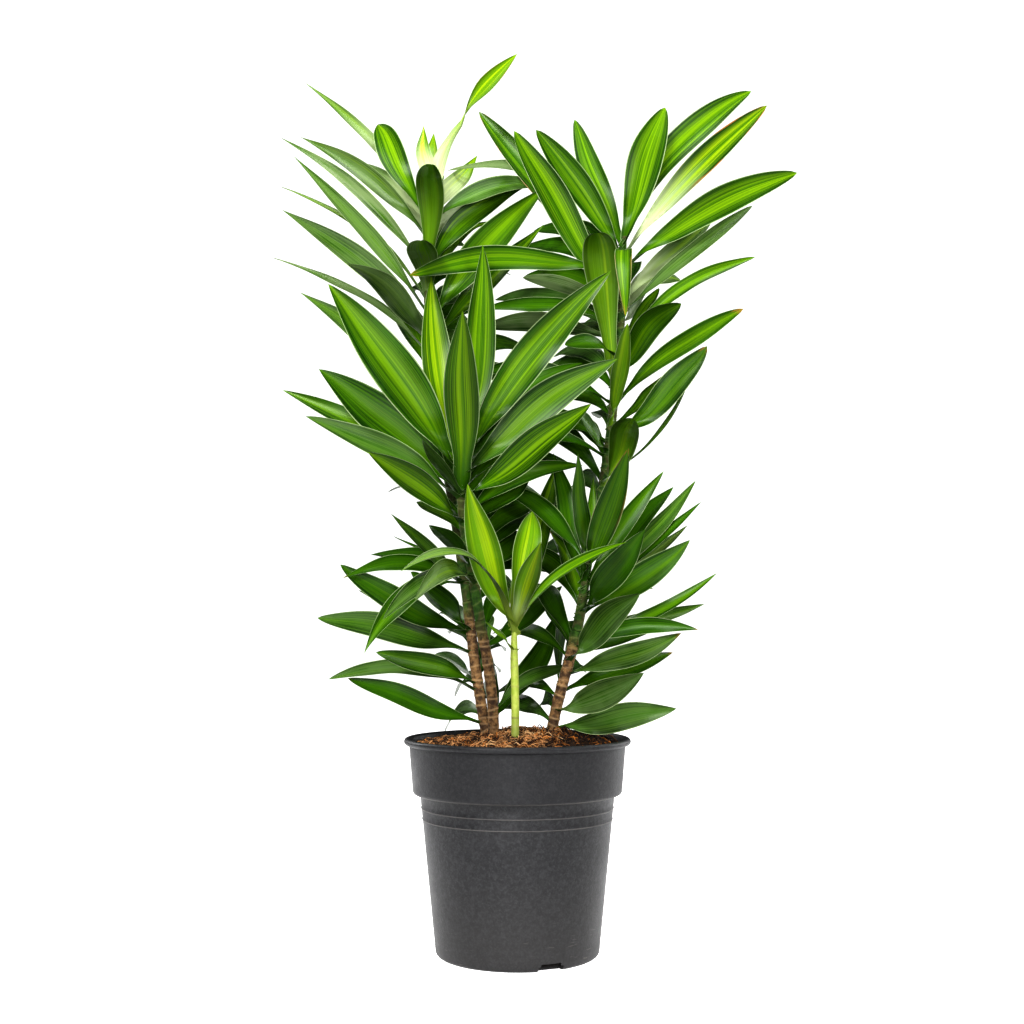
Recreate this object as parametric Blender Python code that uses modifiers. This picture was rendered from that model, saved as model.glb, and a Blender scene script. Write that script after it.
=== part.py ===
"""Potted dracaena: canes with lance-shaped leaves and a young front shoot, in a coir-filled nursery pot.

Sizes are in millimetres, and each object is made in metres. The pot's base centre is the origin, +Z is
up, and the plant's front looks along -Y. Canes and leaf tips are laid out on a front elevation: the
plant as it looks from EYE, with its sizes read on the plane y = 0 and its heights from a line
ELEVATION_DROP below the pot's base. A depth, along +Y, is added to each.
"""
import math
import random
from collections import namedtuple

import bmesh
import bpy
from mathutils import Matrix, Vector, noise
from mathutils.bvhtree import BVHTree

MM = 0.001
GAP = 0.3
SIDE_GAP = 0.5

# Front elevation
EYE = Vector((-5.0, -1317.0, 308.0))
ELEVATION_DROP = 8.0
UP = Vector((0.0, 0.0, 1.0))

# Pot
POT_HEIGHT = 196.5
RIM_RADIUS = 105.0
BEAD_RADIUS = 3.0
COLLAR_TOP_RADIUS = 100.6
COLLAR_FOOT_RADIUS = 96.9
COLLAR_FOOT = 149.0
COLLAR_ROUND = 3.5
BODY_TOP_RADIUS = 89.9
BODY_TOP = 145.0
BODY_FOOT_RADIUS = 75.3
BODY_FOOT = 4.5
BASE_RADIUS = 71.0
WALL = 1.8
FLOOR = 2.4
RING_HEIGHTS = (133.0, 123.0)
RING_PROUD = 0.7
RING_HALF_HEIGHT = 1.3
POT_STEPS = 44
BEAD_POINTS = 6
CORNER_POINTS = 3
BEAD_ARC = (150.0, -75.0)
COLLAR_ARC = (0.0, -90.0)
BASE_ARC = (-22.0, -90.0)
DRAIN_COUNT = 3
DRAIN_FIRST = math.radians(-67.0)
DRAIN_WIDTH = 24.0
DRAIN_HEIGHT = 7.0
DRAIN_DEPTH = 16.0
ABOVE_DRAINS = 10.0

# Growing medium
SOIL_EDGE = 182.0
SOIL_MOUND = 19.0
SOIL_LUMP = 3.2
SOIL_LUMP_SIZE = 13.0
SOIL_RINGS = 7
SOIL_SECTORS = 32
SOIL_FADE_POWER = 6
STEM_FOOT = 168.0
HOLE_CLEARANCE = 0.8
HOLE_SIDES = 12

# Canes: points across, in depth and in height on the elevation, then the bark and crown sections
Cane = namedtuple("Cane", "points radius")
CANES = {
    "left_rear": Cane(
        [(-28, 14, 205), (-32, 14, 225), (-36, 15, 250), (-40, 16, 275), (-43, 18, 300), (-48, 23, 340),
         (-57, 31, 400), (-70, 37, 480), (-80, 38, 560), (-85, 34, 640), (-86, 30, 742)], 5.0),
    "left_front": Cane(
        [(-22, -14, 205), (-23, -14, 235), (-26, -15, 262), (-29, -16, 281), (-33, -18, 301),
         (-37, -21, 327), (-41, -25, 352), (-47, -29, 384), (-52, -33, 420), (-55, -35, 476)], 4.9),
    "right_front": Cane(
        [(31, 0, 205), (36, 0, 230), (41, 1, 250), (47, 1, 270), (52, 1, 290), (57, 0, 310),
         (61, -2, 335), (66, -4, 378)], 5.1),
    "right_rear": Cane(
        [(45, 4, 264), (52, 12, 287), (60, 21, 325), (68, 29, 380), (79, 34, 432), (88, 37, 490),
         (94, 37, 550), (99, 35, 610), (103, 33, 690)], 4.6),
    "front_shoot": Cane(
        [(-2, -38, 203), (-2, -38, 240), (-3, -38, 290), (-2, -38, 340)], 3.8),
}
Section = namedtuple("Section", "node cane low high ring_pitch swell sides")
SECTIONS = [
    Section("trunk_left_rear", "left_rear", STEM_FOOT, 330.0, 12.0, 0.07, 8),
    Section("crown_left_tall", "left_rear", 330.0 + GAP, 730.0, 50.0, 0.04, 6),
    Section("trunk_left_front", "left_front", STEM_FOOT, 313.0, 12.0, 0.07, 8),
    Section("crown_left_front", "left_front", 313.0 + GAP, 468.0, 40.0, 0.04, 6),
    Section("trunk_right", "right_front", STEM_FOOT, 303.0, 12.0, 0.07, 8),
    Section("crown_right_short", "right_front", 303.0 + GAP, 370.0, 34.0, 0.04, 6),
    Section("trunk_right", "right_rear", 266.0, 338.0, 18.0, 0.05, 8),
    Section("crown_right_tall", "right_rear", 338.0 + GAP, 678.0, 50.0, 0.04, 6),
    Section("shoot_front", "front_shoot", STEM_FOOT, 326.0, 40.0, 0.04, 8),
]

# Blades
BROAD_RINGS = (0.0, 0.15, 0.35, 0.57, 0.8, 1.0)
NARROW_RINGS = (0.0, 0.2, 0.48, 0.77, 1.0)
BROAD_WIDTH = 20.0
BLADE_THICKNESS = 1.4
BLADE_FOOT = 0.2
BLADE_FOOT_POWER = 1.7
BLADE_WIDEST = 0.53
BLADE_TIP_POWER = 0.85
BLADE_CHANNEL = 0.2
TWIST_END = 0.35
LEAN_IN = 0.35
FACED_AT = 0.55
LEAST_HIDDEN = 0.25
SHEATH = 0.12
CLEARANCE = 1.3
SWINGS = (0, 7, -7, 14, -14, 22, -22, 30, -30, 40, -40, 52, -52, 66, -66)
KNEE_SWINGS = (0, 12, -12, 24, -24)

# Leaves seen from the front. Each row: height of the root on its cane, then the tip across and its
# height; the lean, from -1 towards the front to 1 towards the back; width; bow, as a share of the length;
# facing, from 1 with its upper face to the front, through 0 as it grows, to -1 with its underside there.
# An eighth number, from 0 to 1, is for a leaf that turns over in depth near its seen end.
FRONT_LEAVES = {
    "left_rear": (190.0, [
        (640, -82, 748, -0.75, 27, 0.02, -0.9, 0.95),
        (615, -92, 674, -0.80, 28, 0.02, -0.9, 0.95),
        (695, 0, 857, 0.10, 22, 0.03, 0.9),
        (690, -134, 787, 0.40, 28, 0.02, 1.0, 0.95),
        (675, -208, 775, 0.40, 19, 0.07, 1.0),
        (640, -228, 775, 0.30, 15, 0.07, 0.7),
        (600, -215, 757, -0.20, 20, 0.03, 0.6),
        (590, -225, 704, -0.30, 25, 0.05, 0.9),
        (695, -205, 829, 0.50, 14, 0.05, 0.6),
        (612, -228, 727, 0.20, 12, 0.09, 0.4),
        (560, -235, 658, 0.30, 15, 0.08, 0.4),
        (505, -207, 624, -0.20, 26, 0.05, 0.8),
        (570, -163, 652, -0.70, 24, 0.10, -0.8),
        (535, -141, 638, 0.80, 25, 0.08, 0.8),
        (690, -153, 752, 0.80, 16, 0.04, 0.7),
        (680, -134, 732, 1.00, 17, 0.04, 0.8),
        (640, 10, 727, 0.40, 24, 0.11, 0.9),
        (665, -15, 737, 0.60, 14, 0.08, 0.6),
        (590, 30, 728, 0.30, 33, 0.05, 0.9),
        (690, -38, 757, 0.90, 20, 0.02, 0.9),
        (712, -90, 786, 0.25, 17, 0.02, 0.9),
        (708, -80, 779, 0.60, 17, 0.02, 0.9),
        (625, -15, 694, 0.50, 13, 0.13, 0.4),
        (575, 26, 690, 0.60, 22, 0.02, 0.8),
    ]),
    "left_front": (200.0, [
        (428, -52, 606, -0.25, 32, 0.03, -0.9),
        (440, -180, 632, -0.30, 42, 0.035, 0.95),
        (448, 90, 645, -0.40, 33, 0.06, 0.95),
        (440, 95, 560, -0.30, 36, 0.06, 0.9),
        (425, -188, 550, -0.20, 39, 0.05, 0.95),
        (425, 70, 517, -0.70, 30, 0.00, 0.9),
        (450, -82, 640, 0.30, 30, -0.05, 1.0),
        (462, -33, 670, 0.35, 29, -0.05, 1.0),
        (400, -141, 471, -0.60, 26, 0.05, 0.9),
        (435, -222, 530, 0.20, 21, 0.04, 0.8),
        (424, -200, 505, -0.30, 25, 0.06, 0.7),
        (432, -112, 521, 0.90, 22, 0.05, 0.5),
        (430, -90, 483, -0.50, 12, 0.00, -0.3),
        (405, -122, 433, 0.70, 12, 0.12, 0.1),
        (392, -95, 424, 0.80, 20, 0.05, 0.4),
        (400, 14, 452, 0.20, 26, 0.00, 0.5),
        (466, 62, 556, 0.60, 24, 0.10, 0.5),
        (458, 8, 522, 0.80, 20, 0.05, -0.3),
        (362, -83, 402, -0.50, 18, 0.05, -0.3),
        (352, -126, 313, -0.80, 17, 0.10, 0.7),
        (345, -96, 332, -0.90, 18, 0.10, 0.9),
        (285, -17, 224, 0.50, 14, 0.12, 0.4),
        (222, 36, 318, 0.60, 24, -0.06, 0.8),
        (285, 42, 345, 0.70, 22, 0.00, 0.6),
    ]),
    "front_shoot": (150.0, [
        (300, -47, 441, 0.10, 29, -0.03, 1.0),
        (308, 14, 415, 0.10, 25, 0.00, 1.0, 0.6),
        (318, -5, 366, 0.10, 7, 0.00, 1.0),
        (302, 103, 386, -0.30, 18, 0.12, 0.4),
        (298, -110, 358, -0.60, 15, 0.28, 0.3),
        (283, -30, 312, -0.20, 8, 0.05, 0.5),
        (305, 22, 386, -0.40, 20, 0.03, -0.6),
        (305, 38, 461, 0.95, 22, 0.00, 0.9),
    ]),
    "right_rear": (190.0, [
        (530, 76, 681, -0.50, 34, 0.02, -0.95, 0.9),
        (665, 142, 804, 0.20, 35, 0.03, 1.0),
        (605, -3, 781, -0.10, 29, 0.00, 0.9),
        (645, 268, 740, -0.10, 31, 0.06, 0.9),
        (668, 225, 820, 0.10, 30, 0.10, 0.9),
        (658, 240, 806, 0.30, 26, 0.04, 0.9),
        (660, 55, 792, 0.40, 23, 0.00, 0.9),
        (650, 18, 782, 0.10, 28, 0.04, 0.95),
        (628, -37, 800, 0.20, 26, 0.01, 0.9),
        (640, -103, 640, -0.30, 25, 0.08, 0.8),
        (652, -67, 742, 0.50, 15, 0.18, 0.6),
        (600, 225, 708, 0.10, 20, 0.02, 0.6),
        (612, 186, 694, 0.40, 20, 0.03, 0.9),
        (563, 227, 658, -0.10, 15, 0.11, 0.7),
        (530, 156, 613, -0.30, 26, 0.12, 0.95),
        (512, 215, 608, 0.10, 21, 0.06, 0.9),
        (480, 180, 572, -0.20, 28, -0.04, 0.9),
        (490, 105, 594, -0.40, 17, 0.00, 0.9),
        (432, 110, 503, -0.60, 29, 0.00, 0.95, 0.7),
        (625, 103, 600, -0.80, 16, 0.30, 0.6),
        (595, 157, 634, 0.90, 22, 0.12, 0.7),
        (590, 127, 635, 0.90, 17, 0.00, -0.7),
        (572, 135, 628, 0.60, 13, 0.00, 0.6),
        (450, 163, 542, 0.30, 9, -0.10, 0.1),
        (492, 150, 550, 0.60, 15, 0.00, 0.3),
        (560, 45, 573, -0.20, 18, 0.12, 0.6),
        (572, 56, 593, 0.50, 10, 0.10, 0.1),
        (600, 5, 638, 0.20, 17, 0.08, -0.8),
        (470, 57, 511, -0.40, 18, 0.00, 0.6),
        (462, 50, 493, 0.50, 18, 0.15, 0.6),
        (498, 62, 523, 0.70, 12, 0.10, -0.3),
        (442, 38, 480, 0.50, 14, 0.05, -0.3),
        (618, 42, 634, 0.70, 18, 0.08, -0.8),
        (575, -32, 590, 0.40, 22, 0.08, -0.8),
        (590, -30, 608, -0.10, 17, 0.10, 0.7),
    ]),
    "right_front": (160.0, [
        (316, 120, 398, -0.50, 28, 0.00, 0.9),
        (345, 105, 475, -0.30, 27, 0.00, 0.95),
        (350, 57, 470, -0.20, 19, 0.00, 0.8),
        (272, 115, 338, -0.80, 29, 0.04, 0.95),
        (340, 138, 453, 0.20, 18, 0.02, 0.8),
        (338, 147, 438, -0.10, 23, 0.03, 0.8),
        (332, 168, 444, 0.30, 18, -0.02, 0.7),
        (328, 173, 424, 0.10, 14, 0.00, 0.5),
        (322, 162, 388, -0.20, 28, -0.04, 0.9),
        (322, 160, 402, 0.50, 16, 0.00, 0.4),
        (345, 34, 470, 0.40, 20, 0.00, 0.8),
        (358, 72, 448, 0.30, 11, 0.00, 0.7),
        (322, 30, 397, -0.20, 22, 0.10, 0.6),
        (228, 118, 264, -0.80, 26, -0.02, 0.95),
        (212, 148, 231, -0.30, 25, 0.00, 0.95),
        (262, 153, 301, -0.30, 22, -0.02, 0.85),
        (245, 145, 283, 0.50, 21, 0.02, 0.8),
        (285, 169, 304, -0.40, 17, 0.10, 0.8),
        (280, 130, 306, 0.80, 14, 0.00, 0.4),
        (288, 175, 328, 0.30, 16, 0.03, 0.7),
        (285, 187, 357, -0.20, 15, -0.03, 0.6),
        (283, 38, 257, 0.60, 16, 0.30, -0.5),
        (286, 24, 333, 0.60, 9, 0.00, 0.1),
    ]),
    "left_rear_low": (150.0, [
        (300, -166, 365, -0.40, 26, -0.04, 0.9),
        (281, -187, 315, -0.30, 27, 0.04, 0.85),
        (345, -119, 413, -0.30, 22, 0.00, 0.5),
        (347, -143, 282, -0.80, 23, 0.17, 0.6),
        (300, -100, 358, -0.50, 24, 0.03, 0.7),
        (350, -138, 374, 0.30, 18, 0.11, -0.8),
        (352, -117, 392, 0.50, 10, 0.03, 0.1),
        (345, -164, 352, -0.30, 18, 0.16, 0.7),
        (295, -149, 341, 0.20, 13, 0.00, -0.4),
        (252, -132, 283, -0.40, 20, 0.05, 0.85),
        (245, -176, 258, -0.30, 18, 0.13, 0.6),
        (216, -158, 259, -0.20, 20, 0.00, 0.85),
        (255, -77, 281, 0.80, 14, 0.05, -0.7),
        (250, -58, 242, 1.00, 16, 0.10, 0.4),
    ]),
}

# Leaves on the far side, set round each cane by the golden angle. Each row: cane, first and last root
# height, spacing, length, width, how far a leaf rises at the bottom and at the top of the stretch, and
# the sector the leaves fill, in degrees from +X towards the back.
GOLDEN_ANGLE = math.radians(137.5)
REAR_LEAVES = [
    ("left_rear", 350, 700, 12.5, 165, 29, 0, 22, (30, 100)),
    ("right_rear", 352, 650, 12.5, 165, 29, 0, 28, (78, 150)),
    ("left_front", 330, 462, 12.5, 150, 29, 10, 35, (30, 100)),
    ("right_front", 312, 366, 10.0, 140, 25, 15, 40, (75, 140)),
    ("left_rear", 222, 316, 12.0, 140, 20, -10, 15, (45, 110)),
    ("right_front", 216, 288, 12.0, 140, 20, -10, 15, (70, 135)),
    ("left_front", 225, 298, 24.0, 130, 18, 0, 20, (50, 120)),
]
REAR_BOW = 0.12
REAR_FACING = 0.5
REAR_SEED = 29
REAR_JITTER = 0.2
REAR_SIZES = (0.85, 1.05)
REAR_TURNS = (0, 9, -9, 18, -18, 27, -27)
REAR_RISES = (0, 10, -10, 20)

Leaf = namedtuple("Leaf", "node root knee tip width roll")
FINISHES = {
    "pot": ((0.033, 0.036, 0.042), 0.55),
    "soil": ((0.12, 0.055, 0.025), 0.95),
    "trunk": ((0.17, 0.09, 0.05), 0.85),
    "crown": ((0.07, 0.22, 0.02), 0.38),
    "shoot": ((0.25, 0.45, 0.03), 0.38),
}


def clear_scene():
    for item in list(bpy.data.objects):
        bpy.data.objects.remove(item, do_unlink=True)


def new_collection(name):
    group = bpy.data.collections.new(name)
    bpy.context.scene.collection.children.link(group)
    return group


def finish_for(kind):
    material = bpy.data.materials.get(kind)
    if material is None:
        material = bpy.data.materials.new(kind)
        material.use_nodes = True
        colour, roughness = FINISHES[kind]
        shader = material.node_tree.nodes["Principled BSDF"]
        shader.inputs["Base Color"].default_value = (*colour, 1.0)
        shader.inputs["Roughness"].default_value = roughness
        shader.inputs["Metallic"].default_value = 0.0
    return material


def new_object(name, mesh, group):
    item = bpy.data.objects.new(name, mesh)
    group.objects.link(item)
    return item


def mesh_of(name, points, faces):
    """A mesh in metres from points in millimetres."""
    mesh = bpy.data.meshes.new(name)
    mesh.from_pydata([tuple(Vector(p) * MM) for p in points], [], faces)
    return mesh


def bake_modifiers(item):
    """Replaces the object's mesh by what its modifiers make of it."""
    graph = bpy.context.evaluated_depsgraph_get()
    mesh = bpy.data.meshes.new_from_object(item.evaluated_get(graph))
    item.modifiers.clear()
    item.data = mesh


def shape_of(item):
    """Points, in millimetres, and faces of the object as its modifiers leave it."""
    graph = bpy.context.evaluated_depsgraph_get()
    mesh = item.evaluated_get(graph).data
    points = [vertex.co / MM for vertex in mesh.vertices]
    return points, [tuple(face.vertices) for face in mesh.polygons]


# Elevation and canes


def place(across, depth, height):
    """The point at this depth that the elevation shows at these sizes across and up."""
    spread = 1.0 - depth / EYE.y
    up = height - ELEVATION_DROP - EYE.z
    return Vector((EYE.x + (across - EYE.x) * spread, depth, EYE.z + up * spread))


def on_cane(name, height):
    """The cane's centre at a height on the elevation; below its first point it stands straight down."""
    points = CANES[name].points
    if height <= points[0][2]:
        return place(*points[0]) - UP * (points[0][2] - height)
    index = 0
    while index < len(points) - 2 and points[index + 1][2] < height:
        index += 1
    before = points[max(index - 1, 0)]
    start, end = points[index], points[index + 1]
    after = points[min(index + 2, len(points) - 1)]
    run = end[2] - start[2]
    share = (height - start[2]) / run
    bend = []
    for axis in (0, 1):
        slope_in = (end[axis] - before[axis]) / max(end[2] - before[2], 1.0) * run
        slope_out = (after[axis] - start[axis]) / max(after[2] - start[2], 1.0) * run
        bend.append(
            (2 * share**3 - 3 * share**2 + 1) * start[axis]
            + (share**3 - 2 * share**2 + share) * slope_in
            + (3 * share**2 - 2 * share**3) * end[axis]
            + (share**3 - share**2) * slope_out)
    return place(bend[0], bend[1], height)


def section_rings(section):
    """Centres and radii along a section: a swollen node at each leaf scar, slimmer between them."""
    radius = CANES[section.cane].radius
    low, high = section.low, section.high
    soil_line = SOIL_EDGE + SOIL_MOUND + ELEVATION_DROP
    rings = []
    if low < soil_line:
        rings.append((low, radius))
        low = soil_line
    count = max(2, round((high - low) / section.ring_pitch)) * 2
    for step in range(count + 1):
        swell = section.swell if step % 2 else 0.0
        rings.append((low + (high - low) * step / count, radius * (1.0 - section.swell / 2 + swell)))
    return [(on_cane(section.cane, height), size) for height, size in rings]


def tube(name, rings, sides, group):
    """A tube through the rings' centres, as a mesh with closed ends."""
    curve = bpy.data.curves.new(name, "CURVE")
    curve.dimensions = "3D"
    curve.bevel_depth = MM
    curve.bevel_resolution = (sides - 4) // 2
    curve.use_fill_caps = True
    line = curve.splines.new("POLY")
    line.points.add(len(rings) - 1)
    for point, (centre, size) in zip(line.points, rings):
        point.co = (*(centre * MM), 1.0)
        point.radius = size
    guide = new_object(name + "_line", curve, group)
    graph = bpy.context.evaluated_depsgraph_get()
    mesh = bpy.data.meshes.new_from_object(guide.evaluated_get(graph))
    bpy.data.objects.remove(guide)
    shape = bmesh.new()
    shape.from_mesh(mesh)
    bmesh.ops.remove_doubles(shape, verts=shape.verts, dist=0.01 * MM)
    bmesh.ops.recalc_face_normals(shape, faces=shape.faces)
    bmesh.ops.triangulate(shape, faces=shape.faces)
    shape.to_mesh(mesh)
    shape.free()
    return new_object(name, mesh, group)


# Leaf blades


def outline(share):
    """Half-width along a blade, as a share of its widest: narrow foot, broad middle, drawn-out tip."""
    if share < BLADE_WIDEST:
        swell = math.sin(math.pi / 2 * share / BLADE_WIDEST) ** BLADE_FOOT_POWER
        return BLADE_FOOT + (1.0 - BLADE_FOOT) * swell
    taper = (share - BLADE_WIDEST) / (1.0 - BLADE_WIDEST)
    return math.cos(math.pi / 2 * taper) ** BLADE_TIP_POWER


def ring_shares(leaf, from_share=0.0):
    """Where a blade's sections stand along it; a clasping foot can be left off its start."""
    shares = BROAD_RINGS if leaf.width > BROAD_WIDTH else NARROW_RINGS
    if from_share:
        shares = (from_share,) + tuple(share for share in shares if share > from_share)
    return shares


def spine(leaf, share):
    """Point and direction on the blade's centre line."""
    rest = 1.0 - share
    point = leaf.root * rest**2 + leaf.knee * (2 * share * rest) + leaf.tip * share**2
    along = (leaf.knee - leaf.root) * rest + (leaf.tip - leaf.knee) * share
    return point, along.normalized()


def natural_normal(leaf, along):
    """The way an untwisted blade's upper face looks: up, and in towards its cane."""
    outward = leaf.tip - leaf.root
    outward.z = 0.0
    wish = UP - outward.normalized() * LEAN_IN
    return (wish - along * wish.dot(along)).normalized()


def front_roll(leaf, facing):
    """The turn about the blade's line that brings its upper face, or its underside, to the front."""
    point, along = spine(leaf, FACED_AT)
    upper = natural_normal(leaf, along)
    view = (EYE - point).normalized() * (1.0 if facing > 0 else -1.0)
    view = (view - along * view.dot(along)).normalized()
    angle = math.atan2(along.dot(upper.cross(view)), upper.dot(view))
    return angle * abs(facing)


def blade_axes(leaf, share):
    """Centre, sideways direction and upper normal of a blade's section."""
    point, along = spine(leaf, share)
    turn = min(1.0, share / TWIST_END)
    roll = leaf.roll * turn * turn * (3.0 - 2.0 * turn)
    normal = Matrix.Rotation(roll, 3, along) @ natural_normal(leaf, along)
    return point, along.cross(normal), normal


def blade(leaf, from_share=0.0, swell=0.0):
    """Points and faces of a closed blade: a shallow channel above, a keel below, sharp edges."""
    shares = ring_shares(leaf, from_share)
    points = []
    faces = []
    for share in shares[:-1]:
        centre, side, normal = blade_axes(leaf, share)
        half = leaf.width / 2 * outline(share) + swell
        rise = normal * (half * BLADE_CHANNEL)
        thick = normal * (BLADE_THICKNESS / 2 + swell)
        points += [centre - side * half + rise, centre + thick, centre + side * half + rise, centre - thick]
    points.append(spine(leaf, 1.0)[0])
    last = len(shares) - 2
    for ring in range(last):
        left, top, right, under = range(ring * 4, ring * 4 + 4)
        for edge, middle in ((left, top), (left, under), (right, under), (right, top)):
            strip = [(edge, middle, middle + 4), (edge, middle + 4, edge + 4)]
            if (edge, middle) in ((left, under), (right, top)):
                strip = [face[::-1] for face in strip]
            faces += strip
    for edge in range(4):
        faces.append((last * 4 + edge, last * 4 + (edge + 1) % 4, len(points) - 1))
    faces.append((3, 2, 1, 0))
    return points, faces


class Canopy:
    """What stands already: pot, soil and stems, and blades with and without their clasping foot."""

    def __init__(self):
        self.bodies = []
        self.blades = []

    @staticmethod
    def tree(points, faces):
        low = Vector([min(p[axis] for p in points) for axis in range(3)])
        high = Vector([max(p[axis] for p in points) for axis in range(3)])
        return BVHTree.FromPolygons(points, faces), low, high

    @staticmethod
    def touch(first, second):
        if any(first[1][axis] > second[2][axis] or second[1][axis] > first[2][axis] for axis in range(3)):
            return False
        return bool(first[0].overlap(second[0]))

    def add_body(self, node, item):
        self.bodies.append((node, self.tree(*shape_of(item))))

    def add_blade(self, leaf):
        self.blades.append((leaf.node, self.tree(*blade(leaf)), self.tree(*blade(leaf, SHEATH))))

    def clashes(self, leaf):
        """How many blades of its own node the leaf crosses, and how many things of other nodes."""
        whole = self.tree(*blade(leaf, swell=CLEARANCE))
        free = self.tree(*blade(leaf, SHEATH, swell=CLEARANCE))
        own = other = 0
        for node, body in self.bodies:
            if node == leaf.node:
                own += self.touch(free, body)
            else:
                other += self.touch(whole, body)
        for node, whole_blade, free_blade in self.blades:
            if node == leaf.node:
                own += self.touch(free, free_blade)
            else:
                other += self.touch(whole, whole_blade)
        return own, other


def node_at(cane, height):
    """The node whose stretch of the cane holds this height."""
    for section in SECTIONS:
        if section.cane == cane and section.low <= height <= section.high:
            return section.node
    raise ValueError(f"no stretch of {cane} at {height}")


def bowed(node, root, tip, width, bow):
    """A leaf whose line rises above its chord by a share of its length."""
    chord = tip - root
    lift = (UP - chord.normalized() * chord.normalized().dot(UP)).normalized()
    knee = (root + tip) / 2 + lift * (2.0 * bow * chord.length)
    return Leaf(node, root, knee, tip, width, 0.0)


def hooked_knee(leaf, hook):
    """The knee of a leaf that rises beside the elevation's plane, then turns over in depth."""
    depth = leaf.root.y + (leaf.tip.y - leaf.root.y) * (1.0 - hook) / 2
    above = EYE + (leaf.tip - EYE) * ((depth - EYE.y) / (leaf.tip.y - EYE.y))
    return leaf.knee.lerp(above, hook)


def front_leaf(cane, reach, row, swing=0.0, knee_swing=0.0):
    """A leaf of the elevation; one that looks short there runs the rest of its reach in depth."""
    height, across, tip_height, lean, width, bow, facing, *hook = row
    root = on_cane(cane, height)
    seen = Vector((across - root.x, tip_height - root.z)).length
    hidden = math.sqrt(max(reach**2 - seen**2, (LEAST_HIDDEN * reach) ** 2))
    tip = place(across, root.y + lean * hidden + swing, tip_height)
    leaf = bowed(node_at(cane, height), root, tip, width, bow)
    if hook:
        leaf = leaf._replace(knee=hooked_knee(leaf, hook[0]))
    leaf = leaf._replace(knee=leaf.knee + Vector((0.0, knee_swing, 0.0)))
    return leaf._replace(roll=front_roll(leaf, facing) if facing else 0.0)


def set_front_leaves(canopy):
    """Places the elevation's leaves, each swung in depth until it is clear of those before it.

    A leaf that would still cross another node is left out.
    """
    leaves = []
    for key, (reach, rows) in FRONT_LEAVES.items():
        cane = key.replace("_low", "")
        for row in rows:
            best = None
            for knee_swing in KNEE_SWINGS:
                for swing in SWINGS:
                    leaf = front_leaf(cane, reach, row, swing, knee_swing)
                    own, other = canopy.clashes(leaf)
                    score = (other, own, abs(swing) + 2 * abs(knee_swing))
                    if best is None or score < best[0]:
                        best = (score, leaf)
                if best[0][:2] == (0, 0):
                    break
            crossed = best[0][0]
            if not crossed:
                leaves.append(best[1])
                canopy.add_blade(best[1])
    return leaves


def set_rear_leaves(canopy):
    """Fills the far side: roots up each cane by the golden angle, turned until clear, else left out."""
    leaves = []
    draw = random.Random(REAR_SEED)
    for cane, low, high, pitch, length, width, rise_low, rise_high, sector in REAR_LEAVES:
        start, end = (math.radians(angle) for angle in sector)
        count = int((high - low) / pitch) + 1
        for step in range(count):
            height = low + pitch * step
            azimuth = (step * GOLDEN_ANGLE + draw.uniform(-REAR_JITTER, REAR_JITTER)) % math.tau
            size = draw.uniform(*REAR_SIZES)
            rise = rise_low + (rise_high - rise_low) * step / max(count - 1, 1)
            if not start < azimuth < end:
                azimuth = start + (azimuth / math.tau) * (end - start)
            leaf = rear_leaf(canopy, cane, height, azimuth, rise, length * size, width * size)
            if leaf:
                leaves.append(leaf)
                canopy.add_blade(leaf)
    return leaves


def rear_leaf(canopy, cane, height, azimuth, rise, length, width):
    for lift in REAR_RISES:
        for turn in REAR_TURNS:
            heading = azimuth + math.radians(turn)
            slope = math.radians(rise + lift)
            flat = Vector((math.cos(heading), math.sin(heading), 0.0))
            root = on_cane(cane, height)
            tip = root + (flat * math.cos(slope) + UP * math.sin(slope)) * length
            leaf = bowed(node_at(cane, height), root, tip, width, REAR_BOW)
            leaf = leaf._replace(roll=front_roll(leaf, REAR_FACING))
            if canopy.clashes(leaf) == (0, 0):
                return leaf
    return None


# Pot and growing medium


def arc(centre_x, centre_z, radius, start, end, count):
    """Points round an arc, its angles in degrees from +X towards +Z."""
    angles = [math.radians(start + (end - start) * step / (count - 1)) for step in range(count)]
    return [(centre_x + radius * math.cos(a), centre_z + radius * math.sin(a)) for a in angles]


def body_radius(height):
    share = (height - BODY_FOOT) / (BODY_TOP - BODY_FOOT)
    return BODY_FOOT_RADIUS + (BODY_TOP_RADIUS - BODY_FOOT_RADIUS) * share


def pot_inside():
    """The pot's inner wall from its top down to the floor, as radius and height."""
    return [
        (COLLAR_TOP_RADIUS - WALL, POT_HEIGHT - 2 * BEAD_RADIUS),
        (COLLAR_FOOT_RADIUS - WALL, COLLAR_FOOT + WALL),
        (BODY_TOP_RADIUS - WALL, BODY_TOP + WALL / 2),
        (body_radius(ABOVE_DRAINS) - WALL, ABOVE_DRAINS),
        (body_radius(BODY_FOOT) - WALL, BODY_FOOT),
        (BASE_RADIUS, FLOOR),
    ]


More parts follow.
